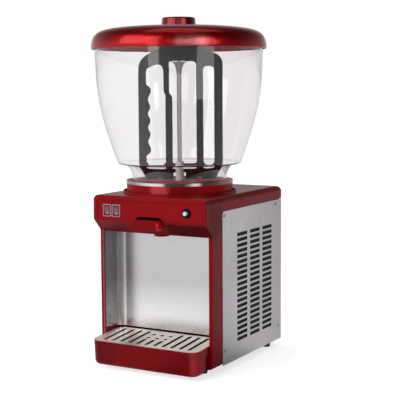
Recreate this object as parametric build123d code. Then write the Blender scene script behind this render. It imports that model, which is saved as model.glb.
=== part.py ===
from build123d import *
import os
from math import cos, hypot, radians, sin, sqrt, tan

# A countertop dispenser with one stirred bowl, a heated floor and one tap.
# Millimetres.  x runs to the right, y from the front to the back, z up, and
# the feet stand on z = 0.  While it is drawn, y = 0 is the front face of the
# head; save() then moves every piece so that the origin is below the middle
# of the whole machine.

# ---- fits and sheet ---------------------------------------------------------
seat_gap = 0.2            # between pieces that rest on each other
lift_gap = 0.3            # below pieces that a hand lifts off
slip_gap = 0.05           # round a shaft that turns or a pin that is pushed in
bolt_gap = 0.2            # round a screw in its hole
panel_gap = 0.3           # between neighbouring covers
tuck_gap = 0.1            # between a cover and the flange behind it
sheet = 1.2               # steel sheet of the cabinet
bond = 1.0                # how far joined shapes run into each other
past = 1.0                # how far a cut runs past the face that it opens

# ---- cabinet ----------------------------------------------------------------
cabinet_width = 290.0
cabinet_depth = 380.0
cabinet_top = 392.0       # upper face of the top cover
panel_bottom = 15.0       # lower edge of the side panels and of the pan
cover_height = 30.5
cover_reveal = 1.5        # dark line between the cover and the side panels
cover_wall = 3.0
cover_side_round = 12.5   # along its sides and its back
cover_front_round = 1.8
skirt_drop = 15.5         # how far the inner skirts hang below the cover
skirt_thickness = 4.0
skirt_setback = 0.3       # behind the front frame
skirt_rear_gap = 24.0
step_radius = 130.0       # raised ring round the foot of the bowl
step_width = 2.2
step_height = 6.0
step_round = 0.9
half_width = cabinet_width / 2
panel_inner = half_width - sheet
cover_bottom = cabinet_top - cover_height
panel_high = cover_bottom - cover_reveal
pan_top = panel_bottom + sheet

# ---- front frame ------------------------------------------------------------
cheek_thickness = 7.8
post_setback = 25.7       # posts stand this far behind the head's face
post_bottom = 20.0
chamfer_rise = 25.0       # below the cover, where the head's face slopes back
chamfer_height = 26.5
wing_depth = 49.3         # from the post's face to the steel side panel
flange_lap = 17.0         # strip of the cheek that the side panel covers
flange_thickness = 5.5
cheek_round = 1.4
bay_floor = 28.0          # shelf for the drip tray, above the posts' lower end
bay_wall = 3.0
bay_depth = 67.3          # from the posts' face to the wall behind the tray
bay_back_height = 60.0
sill_setback = 1.0
header_depth = 4.0
header_height = 10.0
cheek_inner = half_width - cheek_thickness
wing_end = post_setback + wing_depth
chamfer_top = cover_bottom - chamfer_rise
chamfer_bottom = chamfer_top - chamfer_height
bay_floor_top = post_bottom + bay_floor
bay_back = post_setback + bay_depth

# ---- control fascia ---------------------------------------------------------
fascia_inset = 2.4
fascia_thickness = 3.0
fascia_side_gap = 0.5
fascia_band = 10.5        # of the cover, above the fascia
fascia_lap = 2.0          # its slope starts this far below the cheeks' slope
slope_drop = 27.5         # height of its sloping part
slope_depth = 26.7
ceiling_gap = 1.2         # in front of the splash panel's back
lever_slot_gap = 2.5      # beside the lever
lever_slot_rise = 4.5     # above the lever
lever_slot_foot = 8.0     # its lower edge above the handle's
arm_slot_gap = 1.5        # beside the lever's arm
arm_slot_drop = 3.0       # below the handle
fascia_half_width = cheek_inner - fascia_side_gap
fascia_top = cabinet_top - fascia_band
fascia_bottom = chamfer_top - fascia_lap
ceiling_bottom = fascia_bottom - slope_drop
ceiling_top = ceiling_bottom + fascia_thickness
ceiling_front = fascia_inset + slope_depth
fascia_back = fascia_inset + fascia_thickness

# ---- switches ---------------------------------------------------------------
switch_width = 22.0
switch_height = 28.0
switch_spacing = 24.0
switch_pair_x = -96.5     # midway between the two switches
switch_drop = 34.0        # centres below the top of the cover
switch_bezel = 2.2
switch_bezel_round = 2.5
switch_bezel_bevel = 0.6
switch_body_inset = 1.2
switch_body_depth = 20.0
terminal_width = 6.0
terminal_thickness = 0.8
terminal_length = 8.0
terminal_pitch = 7.0
rocker_width = 14.0
rocker_height = 20.0
rocker_gap = 0.3
rocker_pivot_depth = 1.5
rocker_proud = 2.6
rocker_tilt = 8.0         # each way from level
rocker_bore_depth = 15.0
switch_x = (switch_pair_x - switch_spacing / 2, switch_pair_x + switch_spacing / 2)
switch_z = cabinet_top - switch_drop

# ---- thermostat -------------------------------------------------------------
thermostat_x = 95.6
thermostat_drop = 31.0    # below the top of the cover
thermostat_radius = 17.0
thermostat_depth = 26.0
spindle_radius = 3.0
spindle_reach = 15.5
bush_radius = 4.6
knob_bezel_radius = 10.8
knob_bezel_height = 2.6
knob_bezel_round = 1.0
knob_radius = 4.7
knob_height = 7.6
knob_round = 1.0
knob_ring_gap = 0.5
knob_lift = 0.8
knob_slot_width = 1.2
knob_slot_depth = 1.0
bulb_radius = 3.2
bulb_length = 38.0
bulb_round = 2.0
bulb_offset = 24.0        # from the bowl's axis, towards the front
capillary_radius = 1.2
thermostat_z = cabinet_top - thermostat_drop

# ---- splash panel -----------------------------------------------------------
splash_setback = 6.3      # its side edges behind the posts' face
splash_depth = 59.0
splash_sheet = 1.0
splash_corner = 21.0
splash_bottom = 28.5      # its lower edge at the back, above the tray's shelf
splash_rise = 7.0         # its side edges are this much higher at the front
splash_front = post_setback + splash_setback
splash_back = splash_front + splash_depth

# ---- drip tray and grille ---------------------------------------------------
tray_side_gap = 0.6
tray_front = -32.0
tray_length = 118.0
tray_front_height = 55.9  # of its upper edge at the front, above its underside
tray_slope = 4.07         # degrees, rising to the back
tray_bottom = 9.6
tray_deep_length = 50.0
tray_corner = 22.0
tray_back_corner = 6.0
tray_taper = 2.0
tray_bottom_round = 11.0
tray_wall = 2.4
tray_lip = 7.0            # height of the step from the shelf to the front
grille_thickness = 1.5
grille_gap = 0.3
tray_rim = 1.3
slot_pitch = 21.8
slot_count = 11
short_slots = 3
slot_width = 8.0
slot_start = 15.0         # from the grille's front edge
long_slot = 92.0
short_slot = 38.0
drain_radius = 4.8
drain_rows = (64.5, 88.0)
tray_half_width = cheek_inner - tray_side_gap
tray_back = tray_front + tray_length
tray_front_z = tray_bottom + tray_front_height
tray_deep_back = tray_front + tray_deep_length
tray_shelf_bottom = bay_floor_top + seat_gap

# ---- spout and tap ----------------------------------------------------------
outlet_y = 58.0
spout_radius = 17.5
spout_drop = 7.0          # below the head
spout_wall = 3.0
spout_round = 1.2
spout_flange_width = 4.0
spout_flange = 3.0
tube_radius = 8.0
tube_bore = 6.0
tube_drop = 5.0           # below the head's underside
pinch_height = 30.0       # above the lever's pivot
pinch_thickness = 6.0
pinch_width = 22.0
pinch_reach = 16.0        # length over which the tube flattens
pinch_gap = 0.3
pinch_bar_radius = 4.0
pinch_bar_half = 12.0
pivot_y = 40.0
pivot_rise = 24.0         # above the fascia's floor
pin_radius = 3.0
pin_head_radius = 5.0
pin_head = 2.0
pin_end = 3.5
lever_hub_radius = 8.0
lever_hub_half = 17.0
lever_web_half = 12.0
lever_web_height = 14.0
handle_width = 68.0
handle_height = 24.0
handle_thickness = 20.5
handle_reach = 54.0       # from the pivot to the handle's face
handle_drop = 3.4         # its middle below the pivot
handle_corner = 11.5
handle_round = 3.0
ear_inner = 28.0
ear_sheet = 2.0
ear_front_reach = 8.0
ear_back_reach = 32.0
ear_shoulder = 9.0
ear_foot = 12.0
ear_above_pinch = 10.0
spring_wire = 0.8
spring_radius = 5.2
spring_turns = 4
spring_gap = 1.2
clip_thickness = 1.0
clip_radius = 5.5
spout_flange_radius = spout_radius + spout_flange_width
tube_bottom = ceiling_bottom - tube_drop
pivot_z = ceiling_top + pivot_rise
pinch_z = pivot_z + pinch_height
handle_front = pivot_y - handle_reach
handle_back = handle_front + handle_thickness
handle_z = pivot_z - handle_drop
ear_front = pivot_y - ear_front_reach
ear_back = pivot_y + ear_back_reach
ear_top = pinch_z + ear_above_pinch
lever_opening_half = handle_width / 2 + lever_slot_gap
lever_opening_top = handle_z + handle_height / 2 + lever_slot_rise

# ---- pedestal and heated floor ----------------------------------------------
bowl_axis = 139.5         # behind the head's face
pedestal_height = 20.0
pedestal_radius = 117.4
pedestal_ledge_width = 8.3
pedestal_spigot_drop = 8.0
pedestal_round = 1.5
floor_radius = 99.9
floor_proud = 7.0         # above the pedestal
floor_thickness = 8.0
floor_round = 2.0
spigot_drop = 26.0
tube_below_floor = 13.0
spigot_wall = 1.5
seal_height = 2.7
seal_inset = 0.8          # from each edge of the pedestal's top
heater_radius = 66.0
heater_rod = 4.2
heater_leg = 16.0
heater_pin = 8.0
heater_pin_radius = 1.6
heater_sweep = 320.0
cutout_radius = 8.0
cutout_height = 9.0
cutout_x = 28.0
cutout_offset = 22.0      # behind the bowl's axis
pedestal_top = cabinet_top + pedestal_height
pedestal_bore = floor_radius + 2 * seat_gap
pedestal_inner = pedestal_bore - pedestal_ledge_width
cover_hole_radius = pedestal_bore + seat_gap + panel_gap
floor_top = pedestal_top + floor_proud
floor_bottom = floor_top - floor_thickness
tube_top = floor_bottom - tube_below_floor

# ---- bowl -------------------------------------------------------------------
bowl_wall = 3.5
bowl_height = 274.0       # from the shoulder to the rim
bowl_rim_radius = 191.8
crease_radius = 141.0     # shoulder where the wall turns in to the neck
neck_radius = 108.5
neck_height = 38.0
neck_start = 4.0          # above the flange
bowl_flange_thickness = 6.0
bowl_flange_round = 1.5
bowl_mouth_gap = 0.7      # round the heated floor
bowl_skirt_radius = 121.7
bowl_skirt_wall = 3.0
bowl_skirt_lift = 5.0     # above the top cover
bowl_band_height = 6.5
bowl_band_sheet = 0.6
bowl_flange_bottom = pedestal_top + seal_height + lift_gap
bowl_flange_top = bowl_flange_bottom + bowl_flange_thickness
bowl_mouth_radius = floor_radius + bowl_mouth_gap
bowl_skirt_bottom = cabinet_top + bowl_skirt_lift
neck_z = bowl_flange_top + neck_start
crease_z = bowl_flange_top + neck_height
bowl_top = crease_z + bowl_height

# ---- lid --------------------------------------------------------------------
lid_overhang = 6.8        # outside the bowl's rim
lid_overlap = 16.0        # below the bowl's rim
lid_height = 53.0
lid_wall = 2.5
lid_edge_round = 0.8
lid_flat_radius = 40.0
lid_flat_step = 0.4
lid_rib_gap = 1.5         # inside the bowl's wall
lid_rib_wall = 2.3
lid_rib_lift = 5.0        # above the lid's lower edge
lid_knob_radius = 39.0
lid_knob_height = 18.0
lid_knob_taper = 1.6
lid_knob_round = 4.0
lid_screw_radius = 2.5
lid_screw_head_radius = 6.0
lid_screw_head = 2.5
lid_screw_depth = 11.0
lid_radius = bowl_rim_radius + lid_overhang
lid_bottom = bowl_top - lid_overlap
lid_top = lid_bottom + lid_height
lid_rib_radius = bowl_rim_radius - bowl_wall - lid_rib_gap
lid_rib_bottom = lid_bottom + lid_rib_lift

# ---- riser and agitator -----------------------------------------------------
riser_radius = 5.25
riser_bore = 4.0
riser_height = 252.0      # above the heated floor
riser_below = 15.0        # thread under the floor plate
collar_radius = 9.6
collar_height = 44.0
collar_bevel = 1.0
nut_flats = 17.0
nut_height = 6.0
bush_rise = 18.0          # of the bearing above the riser's end
bush_lap = 8.0
bush_wall = 1.2
bush_top_radius = 15.0
drive_radius = 3.0
hub_gap = 2.0             # between the bearing and the hub
hub_radius = 13.0
hub_height = 31.0
hub_cap = 4.0             # solid end above the shaft
hub_bevel = 1.5
paddle_turn = 29.18       # direction of the plate at rest, from +x towards +y
paddle_thickness = 4.5
paddle_left = 93.0
paddle_right = 99.0
paddle_lift = 3.3         # above the heated floor
paddle_above_hub = 8.0
paddle_foot_inset = 16.5
paddle_foot_height = 36.0
notch_height = 17.4
notch_half = 14.0
foot_notch_radius = 6.5
foot_notch_x = 45.3
sleeve_height = 18.3
sleeve_gap = 0.5          # round the riser's collar
sleeve_wall = 3.0
slot_base = 31.8          # lower end of the side slots above the paddle's foot
slot_head = 50.0          # their upper end below the paddle's top
grip_edge = 75.6
grip_crest = 66.2
grip_ridges = 5
grip_pitch = 31.2
grip_depth = 5.2
grip_first = 195.7        # first ridge, above the paddle's foot
jog_height = 190.7        # where the inner bars widen, above the foot
grip_right_high = 35.6
grip_right_low = 31.6
window_left_high = 22.9
window_left_low = 15.8
window_right = 38.9
window_head = 40.5
right_slot_left = 55.0
right_slot_right = 79.7
right_slot_round = 10.0
riser_top = floor_top + riser_height
collar_top = floor_top + collar_height
bush_top = riser_top + bush_rise
hub_bottom = bush_top + hub_gap
hub_top = hub_bottom + hub_height
drive_top = hub_top - hub_cap
paddle_bottom = floor_top + paddle_lift
paddle_top = hub_top + paddle_above_hub
notch_top = paddle_bottom + notch_height
window_bottom = notch_top + sleeve_height

# ---- gearmotor --------------------------------------------------------------
bracket_drop = 52.0       # below the top of the cover
bracket_depth = 68.0
bracket_sheet = 2.0
bracket_lip = 8.0
bracket_screw_inset = 14.0
bracket_screw_rise = 13.0
gearbox_width = 84.0
gearbox_depth = 62.0
gearbox_height = 42.0
gearbox_round = 6.0
gearbox_floor = 6.0
bolt_inset = 8.0
bolt_depth = 7.5
motor_radius = 30.0
motor_length = 66.0
motor_round = 3.0
motor_slots = 8
motor_slot_width = 5.0
motor_slot_height = 18.0
motor_slot_start = 12.0
output_radius = 5.0
output_length = 17.0      # above the gearbox
coupling_radius = 9.5
coupling_lap = 12.0       # length of output shaft inside it
coupling_length = 29.0
bracket_z = cabinet_top - bracket_drop
bracket_front = bowl_axis - bracket_depth / 2
bracket_back = bowl_axis + bracket_depth / 2
bracket_end = panel_inner - tuck_gap - skirt_thickness - panel_gap
output_top = bracket_z + output_length
coupling_bottom = output_top - coupling_lap
coupling_top = coupling_bottom + coupling_length
coupling_split = output_top + 0.5

# ---- base, feet and rear ----------------------------------------------------
pan_wall = 24.0
foot_radius = 11.0
foot_taper = 2.0
foot_round = 1.5
foot_screw_depth = 9.0
front_foot_x = 107.0
front_foot_setback = 27.3 # behind the posts' face
rear_foot_x = 125.0
rear_foot_inset = 42.0    # from the back
rear_inset = 4.0
rear_tongue = 12.0
rear_return = 14.0
rear_screw_inset = 12.0
fan_x = 55.0
fan_z = 190.0
fan_size = 80.0
fan_depth = 25.0
fan_round = 5.0
fan_duct_radius = 37.5
fan_hole_offset = 35.75
fan_hole_radius = 2.2
fan_screw_radius = 2.1
fan_hub_radius = 16.0
fan_web = 3.0
fan_strut = 4.0
fan_blades = 7
fan_blade_sheet = 2.0
fan_blade_chord = 15.0
fan_blade_pitch = 55.0
fan_tip_gap = 1.0
fan_spindle = 2.0
fan_side_gap = 0.6
guard_bars = 9
guard_spine = 6.0
inlet_x = -95.0
inlet_z = 62.0
inlet_width = 28.0
inlet_height = 20.0
inlet_depth = 26.0
inlet_flange_width = 50.0
inlet_flange_height = 23.0
inlet_flange_round = 5.0
inlet_cavity_depth = 17.0
inlet_wall = 2.0
inlet_tongue = 2.0
inlet_pin_width = 2.0
inlet_pin_height = 4.0
inlet_pin_length = 13.0
inlet_pin_spacing = 7.0
terminals_x = -60.0
terminals_inset = 90.0    # from the rear panel
terminals_width = 72.0
terminals_depth = 22.0
terminals_height = 17.0
terminals_ways = 6
terminals_hole = 2.6
rear_face = cabinet_depth - rear_inset
rear_inner = rear_face - sheet

# ---- louvres and side screws ------------------------------------------------
vent_first_y = 145.0
vent_column_pitch = 65.0
vent_columns = 3
vent_length = 50.3
vent_height = 8.0
vent_rows = 20
vent_pitch = 12.65
vent_first_z = 60.2
panel_bevel = 5.0
screw_front_inset = 9.0   # behind the panel's front edge
screw_rear_high_inset = 31.0
screw_rear_low_inset = 13.0
screw_high_drop = 10.0    # below the panel's upper edge
screw_low_rise = 32.0     # above its lower edge
screw_radius = 1.9
screw_head_radius = 3.6
screw_head = 1.9
screw_head_round = 1.2
screw_slot_width = 0.8
screw_slot_depth = 0.7
screw_reach = 5.2
filter_sheet = 0.6
filter_margin = 10.0      # round the louvres
label_setback = 134.0
label_length = 46.0
label_drop = 62.0         # its upper edge below the top of the cover
label_height = 23.0
label_thickness = 0.25
screw_front_y = wing_end + screw_front_inset
screw_high_z = panel_high - screw_high_drop
screw_low_z = panel_bottom + screw_low_rise

front_y = -(cabinet_depth + bowl_axis - lid_radius) / 2


# ---- drawing helpers --------------------------------------------------------
def block(x, y, z):
    """A box from three (low, high) pairs."""
    centre = Pos((x[0] + x[1]) / 2, (y[0] + y[1]) / 2, (z[0] + z[1]) / 2)
    return centre * Box(x[1] - x[0], y[1] - y[0], z[1] - z[0])


def plus_minus(centre, half):
    """A (low, high) pair round a centre."""
    return (centre - half, centre + half)


def post(x, y, z, radius):
    """An upright cylinder from z[0] to z[1]."""
    return Pos(x, y, (z[0] + z[1]) / 2) * Cylinder(radius, z[1] - z[0])


def bar(x, y, z, radius):
    """A cylinder along x."""
    return Pos((x[0] + x[1]) / 2, y, z) * Rot(0, 90, 0) * Cylinder(radius, x[1] - x[0])


def stub(x, y, z, radius):
    """A cylinder along y."""
    return Pos(x, (y[0] + y[1]) / 2, z) * Rot(90, 0, 0) * Cylinder(radius, y[1] - y[0])


def ring(z, outer, inner, y=bowl_axis):
    """An upright tube round the bowl's axis, or round another y."""
    return post(0, y, z, outer) - post(0, y, (z[0] - past, z[1] + past), inner)


def side_profile(points, x):
    """A (y, z) outline drawn out along x."""
    face = Plane.YZ * make_face(Polyline(*points, close=True))
    return Pos(x[0], 0, 0) * extrude(face, x[1] - x[0])


def plan_profile(face, z):
    """A flat (x, y) face drawn out along z."""
    return Pos(0, 0, z[0]) * extrude(face, z[1] - z[0])


def plan_outline(half, y, front_corner, rear_corner):
    """A rectangle in plan with its own corner radii at the front and the back."""
    corners = [(-half, y[0]), (half, y[0]), (half, y[1]), (-half, y[1])]
    radii = [front_corner, front_corner, rear_corner, rear_corner]
    return make_face(FilletPolyline(*corners, radius=radii, close=True))


def rounded_box(half, y, z, radius):
    """A box whose upper edges are rounded along its sides and its back."""
    body = block((-half, half), y, z)
    edges = [e for e in top_edges(body) if e.center().Y > y[0] + past]
    return fillet(edges, radius)


def turned(outline):
    """A closed (radius, z) outline turned round the bowl's axis."""
    face = Plane.XZ * make_face(outline)
    return Pos(0, bowl_axis, 0) * revolve(face, Axis.Z)


def mirrored(shape):
    """The same shape on the other side of the machine."""
    return mirror(shape, about=Plane.YZ)


def both_sides(shape):
    return shape + mirrored(shape)


def top_edges(shape):
    return shape.faces().sort_by(Axis.Z)[-1].edges()


def bottom_edges(shape):
    return shape.faces().sort_by(Axis.Z)[0].edges()


def front_edges(shape):
    return shape.faces().sort_by(Axis.Y)[0].edges()


def set_in(points, depth):
    """Points moved square to their own line, to its left, by a wall's thickness."""
    moved = []
    for i, (r, z) in enumerate(points):
        before = points[max(i - 1, 0)]
        after = points[min(i + 1, len(points) - 1)]
        dr, dz = after[0] - before[0], after[1] - before[1]
        length = hypot(dr, dz)
        moved.append((r - dz / length * depth, z + dr / length * depth))
    return moved


def save(name, shape):
    """Write one node; a list is a group of like pieces, each a solid of its own."""
    shift = Pos(0, front_y, 0)
    if isinstance(shape, list):
        placed = Compound([shift * piece for piece in shape])
    else:
        placed = shift * shape
    placed.label = name
    export_step(placed, f"parts/{name}.step")


# ---- screws -----------------------------------------------------------------
def upright_screw(x, y, seat, tip):
    """A screw whose head sits on a face at height seat and points down to tip."""
    head = post(x, y, (seat, seat + screw_head), screw_head_radius)
    return head + post(x, y, (tip, seat), screw_radius)


def side_screw_places():
    """(y, z) of the four screws in each side panel, the front pair first."""
    return [(screw_front_y, screw_high_z), (screw_front_y, screw_low_z),
            (cabinet_depth - screw_rear_high_inset, screw_high_z),
            (cabinet_depth - screw_rear_low_inset, screw_low_z)]


def side_hole(y, z, gap):
    """The hole of one side screw, through everything near the side."""
    return bar((half_width - 2 * screw_reach, half_width + past), y, z, screw_radius + gap)


def side_screw(y, z):
    head = bar((half_width, half_width + screw_head), y, z, screw_head_radius)
    head = fillet(head.faces().sort_by(Axis.X)[-1].edges(), screw_head_round)
    face = half_width + screw_head
    slot = block((face - screw_slot_depth, face + past), plus_minus(y, screw_head_radius),
                 plus_minus(z, screw_slot_width / 2))
    return head - slot + bar((half_width - screw_reach, half_width), y, z, screw_radius)


def rear_screw_places():
    z = panel_bottom + pan_wall - rear_screw_inset
    return [(side * (panel_inner - rear_screw_inset), z) for side in (-1, 1)]


def cabinet_screws():
    """Pan-head screws of the side and rear panels, each a solid of its own."""
    screws = []
    for y, z in side_screw_places():
        screw = side_screw(y, z)
        screws += [screw, mirrored(screw)]
    for x, z in rear_screw_places():
        head = stub(x, (rear_face, rear_face + screw_head), z, screw_head_radius)
        screws.append(head + stub(x, (rear_inner, rear_face), z, screw_radius))
    return screws


def foot_places():
    front = post_setback + front_foot_setback
    rear = cabinet_depth - rear_foot_inset
    return [(side * x, y) for x, y in ((front_foot_x, front), (rear_foot_x, rear))
            for side in (-1, 1)]


def bracket_foot_places():
    x = ear_inner + ear_sheet + ear_foot / 2
    inset = ear_foot
    return [(side * x, y) for side in (-1, 1) for y in (ear_front + inset, ear_back - inset)]


def gearbox_bolt_places():
    x, y = gearbox_width / 2 - bolt_inset, gearbox_depth / 2 - bolt_inset
    return [(sx * x, bowl_axis + sy * y) for sx in (-1, 1) for sy in (-1, 1)]


def bracket_side_places():
    z = bracket_z + bracket_screw_rise
    return [(y, z) for y in (bracket_front + bracket_screw_inset,
                             bracket_back - bracket_screw_inset)]


def inner_screws():
    """Screws of the feet, the valve bracket, the gearbox and the motor bracket."""
    tip = panel_bottom - foot_screw_depth
    screws = [upright_screw(x, y, pan_top, tip) for x, y in foot_places()]
    screws += [upright_screw(x, y, ceiling_top + ear_sheet, ceiling_bottom)
               for x, y in bracket_foot_places()]
    screws += [upright_screw(x, y, bracket_z + bracket_sheet, bracket_z - bolt_depth)
               for x, y in gearbox_bolt_places()]
    inner = bracket_end - bracket_sheet
    for y, z in bracket_side_places():
        screw = bar((inner - screw_head, inner), y, z, screw_head_radius)
        screw += bar((inner, bracket_end + panel_gap + skirt_thickness - tuck_gap), y, z,
                     screw_radius)
        screws += [screw, mirrored(screw)]
    return screws


# ---- cabinet shell ----------------------------------------------------------
def top_cover():
    inside = half_width - cover_wall
    shell = rounded_box(half_width, (0, cabinet_depth), (cover_bottom, cabinet_top),
                        cover_side_round)
    front = front_edges(shell).filter_by(lambda edge: edge.center().Z > cover_bottom + past)
    shell = fillet(front, cover_front_round)
    shell -= rounded_box(inside, (cover_wall, cabinet_depth - cover_wall),
                         (cover_bottom - past, cabinet_top - cover_wall),
                         cover_side_round - cover_wall)
    window = fascia_half_width + panel_gap
    shell -= block((-window, window), (-past, cover_wall + past),
                   (cover_bottom - past, fascia_top + panel_gap))
    outer = panel_inner - tuck_gap
    y = (wing_end + flange_lap + skirt_setback, cabinet_depth - skirt_rear_gap)
    skirt = block((outer - skirt_thickness, outer), y, (cover_bottom - skirt_drop, cover_bottom))
    skirt += block((outer - skirt_thickness, inside + bond), y,
                   (cover_bottom, cabinet_top - cover_side_round))
    skirt -= side_hole(*side_screw_places()[2], slip_gap)
    for y, z in bracket_side_places():
        skirt -= side_hole(y, z, slip_gap)
    shell += both_sides(skirt)
    step = ring((cabinet_top - bond, cabinet_top + step_height), step_radius,
                step_radius - step_width)
    shell += fillet(top_edges(step), step_round)
    return shell - post(0, bowl_axis, (cabinet_top - cover_wall - past, cabinet_top + past),
                        cover_hole_radius)


def front_frame():
    top = cover_bottom - panel_gap
    rear = wing_end - seat_gap
    outline = [(0, top), (0, chamfer_top), (post_setback, chamfer_bottom),
               (post_setback, post_bottom), (rear, post_bottom), (rear, top)]
    cheek = side_profile(outline, (cheek_inner, half_width))
    outer = cheek.faces().sort_by(Axis.X)[-1]
    cheek = fillet([e for e in outer.edges() if e.center().Y < post_setback + past],
                   cheek_round)
    flange_outer = panel_inner - tuck_gap
    cheek += block((flange_outer - flange_thickness, flange_outer),
                   (rear - bond, wing_end + flange_lap), (post_bottom, top))
    for y, z in side_screw_places()[:2]:
        cheek -= side_hole(y, z, slip_gap)
    frame = both_sides(cheek)
    front = post_setback + sill_setback
    span = (-cheek_inner - bond, cheek_inner + bond)
    shelf = (bay_floor_top - bay_wall, bay_floor_top)
    frame += block(span, (front, front + bay_wall), (post_bottom, bay_floor_top))
    frame += block(span, (front, bay_back + bay_wall), shelf)
    frame += block(span, (bay_back, bay_back + bay_wall),
                   (shelf[0], bay_floor_top + bay_back_height))
    header = wing_end - bond
    return frame + block(span, (header, header + header_depth), (top - header_height, top))


def side_panel():
    """The right-hand panel: louvred steel sheet."""
    outline = [(wing_end, panel_bottom), (cabinet_depth, panel_bottom),
               (cabinet_depth, panel_high), (wing_end + panel_bevel, panel_high),
               (wing_end, panel_high - panel_bevel)]
    panel = side_profile(outline, (panel_inner, half_width))
    through = (panel_inner - past, half_width + past)
    cuts = [side_hole(y, z, bolt_gap) for y, z in side_screw_places()]
    for row in range(vent_rows):
        z = plus_minus(vent_first_z + row * vent_pitch, vent_height / 2)
        for column in range(vent_columns):
            y = vent_first_y + column * vent_column_pitch
            cuts.append(block(through, (y, y + vent_length), z))
    return panel - cuts


def vent_filters():
    """Filter mats inside the side panels, one behind each field of louvres."""
    face = panel_inner - seat_gap
    last_y = vent_first_y + (vent_columns - 1) * vent_column_pitch + vent_length
    last_z = vent_first_z + (vent_rows - 1) * vent_pitch
    mat = block((face - filter_sheet, face), (vent_first_y - filter_margin,
                                              last_y + filter_margin),
                (vent_first_z - filter_margin, last_z + filter_margin))
    return [mat, mirrored(mat)]


def label_plate():
    high = cabinet_top - label_drop
    return block((half_width, half_width + label_thickness),
                 (label_setback, label_setback + label_length), (high - label_height, high))


def base_pan():
    wide = panel_inner - bolt_gap
    narrow = cheek_inner - fascia_side_gap
    middle = bay_back + bay_wall
    front = post_setback + sill_setback + bay_wall + past
    back = rear_inner - seat_gap
    top = panel_bottom + pan_wall
    pan = block((-wide, wide), (middle, back), (panel_bottom, top))
    pan += block((-narrow, narrow), (front, middle + bond), (panel_bottom, top))
    pan -= block((-wide + sheet, wide - sheet), (middle + sheet, back - sheet),
                 (pan_top, top + past))
    pan -= block((-narrow + sheet, narrow - sheet), (front + sheet, middle + sheet + past),
                 (pan_top, top + past))
    for x, y in foot_places():
        pan -= post(x, y, (panel_bottom - past, pan_top + past), screw_radius + bolt_gap)
    return pan - both_sides(side_hole(*side_screw_places()[3], bolt_gap))


def guard_cuts(face):
    """Openings of the fan guard: bars across, with a spine up the middle."""
    cuts = []
    pitch = 2 * fan_duct_radius / guard_bars
    for row in range(guard_bars):
        z = (row - (guard_bars - 1) / 2) * pitch
        reach = sqrt((fan_duct_radius - fan_tip_gap) ** 2 - z ** 2)
        for side in (-1, 1):
            x = sorted((fan_x + side * guard_spine / 2, fan_x + side * reach))
            cuts.append(block(x, face, plus_minus(fan_z + z, pitch / 4)))
    return cuts


def rear_panel():
    wide = panel_inner - bolt_gap
    panel = block((-wide, wide), (rear_inner, rear_face), (pan_top + seat_gap, panel_high))
    tongue = half_width - cover_wall - fascia_side_gap
    panel += block((-tongue, tongue), (rear_inner, rear_face),
                   (panel_high - bond, panel_high + rear_tongue))
    edge = block((wide - sheet, wide), (rear_inner - rear_return, rear_face),
                 (panel_bottom + pan_wall + past, panel_high - cover_reveal))
    edge -= side_hole(*side_screw_places()[3], slip_gap)
    panel += both_sides(edge)
    through = (rear_inner - past, rear_face + past)
    cuts = guard_cuts(through)
    cuts += [stub(x, through, z, fan_hole_radius) for x, z in fan_screw_places()]
    cuts.append(block(plus_minus(inlet_x, inlet_width / 2 + panel_gap), through,
                      plus_minus(inlet_z, inlet_height / 2 + panel_gap)))
    for x, z in rear_screw_places():
        cuts.append(stub(x, through, z, screw_radius + slip_gap))
    return panel - cuts


def foot(x, y):
    body = Pos(x, y, panel_bottom / 2) * Cone(foot_radius - foot_taper, foot_radius,
                                              panel_bottom)
    body = fillet(bottom_edges(body), foot_round)
    return body - post(x, y, (panel_bottom - foot_screw_depth - past, panel_bottom + past),
                       screw_radius)


# ---- front, splash panel and controls ---------------------------------------
def control_fascia():
    lean = fascia_thickness * slope_depth / (slope_depth + slope_drop)
    rear = splash_back - ceiling_gap
    outline = [(fascia_inset, fascia_top), (fascia_inset, fascia_bottom),
               (ceiling_front, ceiling_bottom), (rear, ceiling_bottom), (rear, ceiling_top),
               (ceiling_front + lean, ceiling_top), (fascia_back, fascia_bottom + lean),
               (fascia_back, fascia_top)]
    fascia = side_profile(outline, (-fascia_half_width, fascia_half_width))
    through = (fascia_inset - past, fascia_back + past)
    handle_low = handle_z - handle_height / 2
    window = RectangleRounded(2 * lever_opening_half, 2 * (lever_opening_top - handle_z),
                              handle_corner + lever_slot_gap)
    reach = (-past, ceiling_front + bond)
    opening = Pos(0, reach[1], handle_z) * Rot(90, 0, 0) * extrude(window, reach[1] - reach[0])
    fascia -= opening & block((-half_width, half_width), reach,
                              (handle_low + lever_slot_foot, lever_opening_top + past))
    fascia -= block(plus_minus(0, lever_web_half + arm_slot_gap), reach,
                    (handle_low - arm_slot_drop, handle_z))
    for x in switch_x:
        w = switch_width / 2 - switch_body_inset + tuck_gap
        h = switch_height / 2 - switch_body_inset + tuck_gap
        fascia -= block(plus_minus(x, w), through, plus_minus(switch_z, h))
    fascia -= stub(thermostat_x, through, thermostat_z, bush_radius + tuck_gap)
    fascia -= post(0, outlet_y, (ceiling_bottom - past, ceiling_top + past),
                   spout_radius + seat_gap)
    for x, y in bracket_foot_places():
        fascia -= post(x, y, (ceiling_bottom - past, ceiling_top + past), screw_radius)
    return fascia


def splash_panel():
    outer = cheek_inner - tuck_gap
    top = ceiling_bottom - seat_gap
    back_edge = bay_floor_top + splash_bottom
    low = back_edge - splash_corner
    plan = plan_outline(outer, (splash_front, splash_back), 0, splash_corner)
    hollow = plan_outline(outer - splash_sheet,
                          (splash_front - splash_corner, splash_back - splash_sheet),
                          0, splash_corner - splash_sheet)
    panel = plan_profile(plan, (low, top))
    panel -= plan_profile(hollow, (low - past, top + past))
    below = [(splash_front - past, low - past), (splash_back + past, low - past),
             (splash_back + past, back_edge), (splash_front - past, back_edge + splash_rise)]
    return panel - side_profile(below, (-half_width, half_width))


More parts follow.
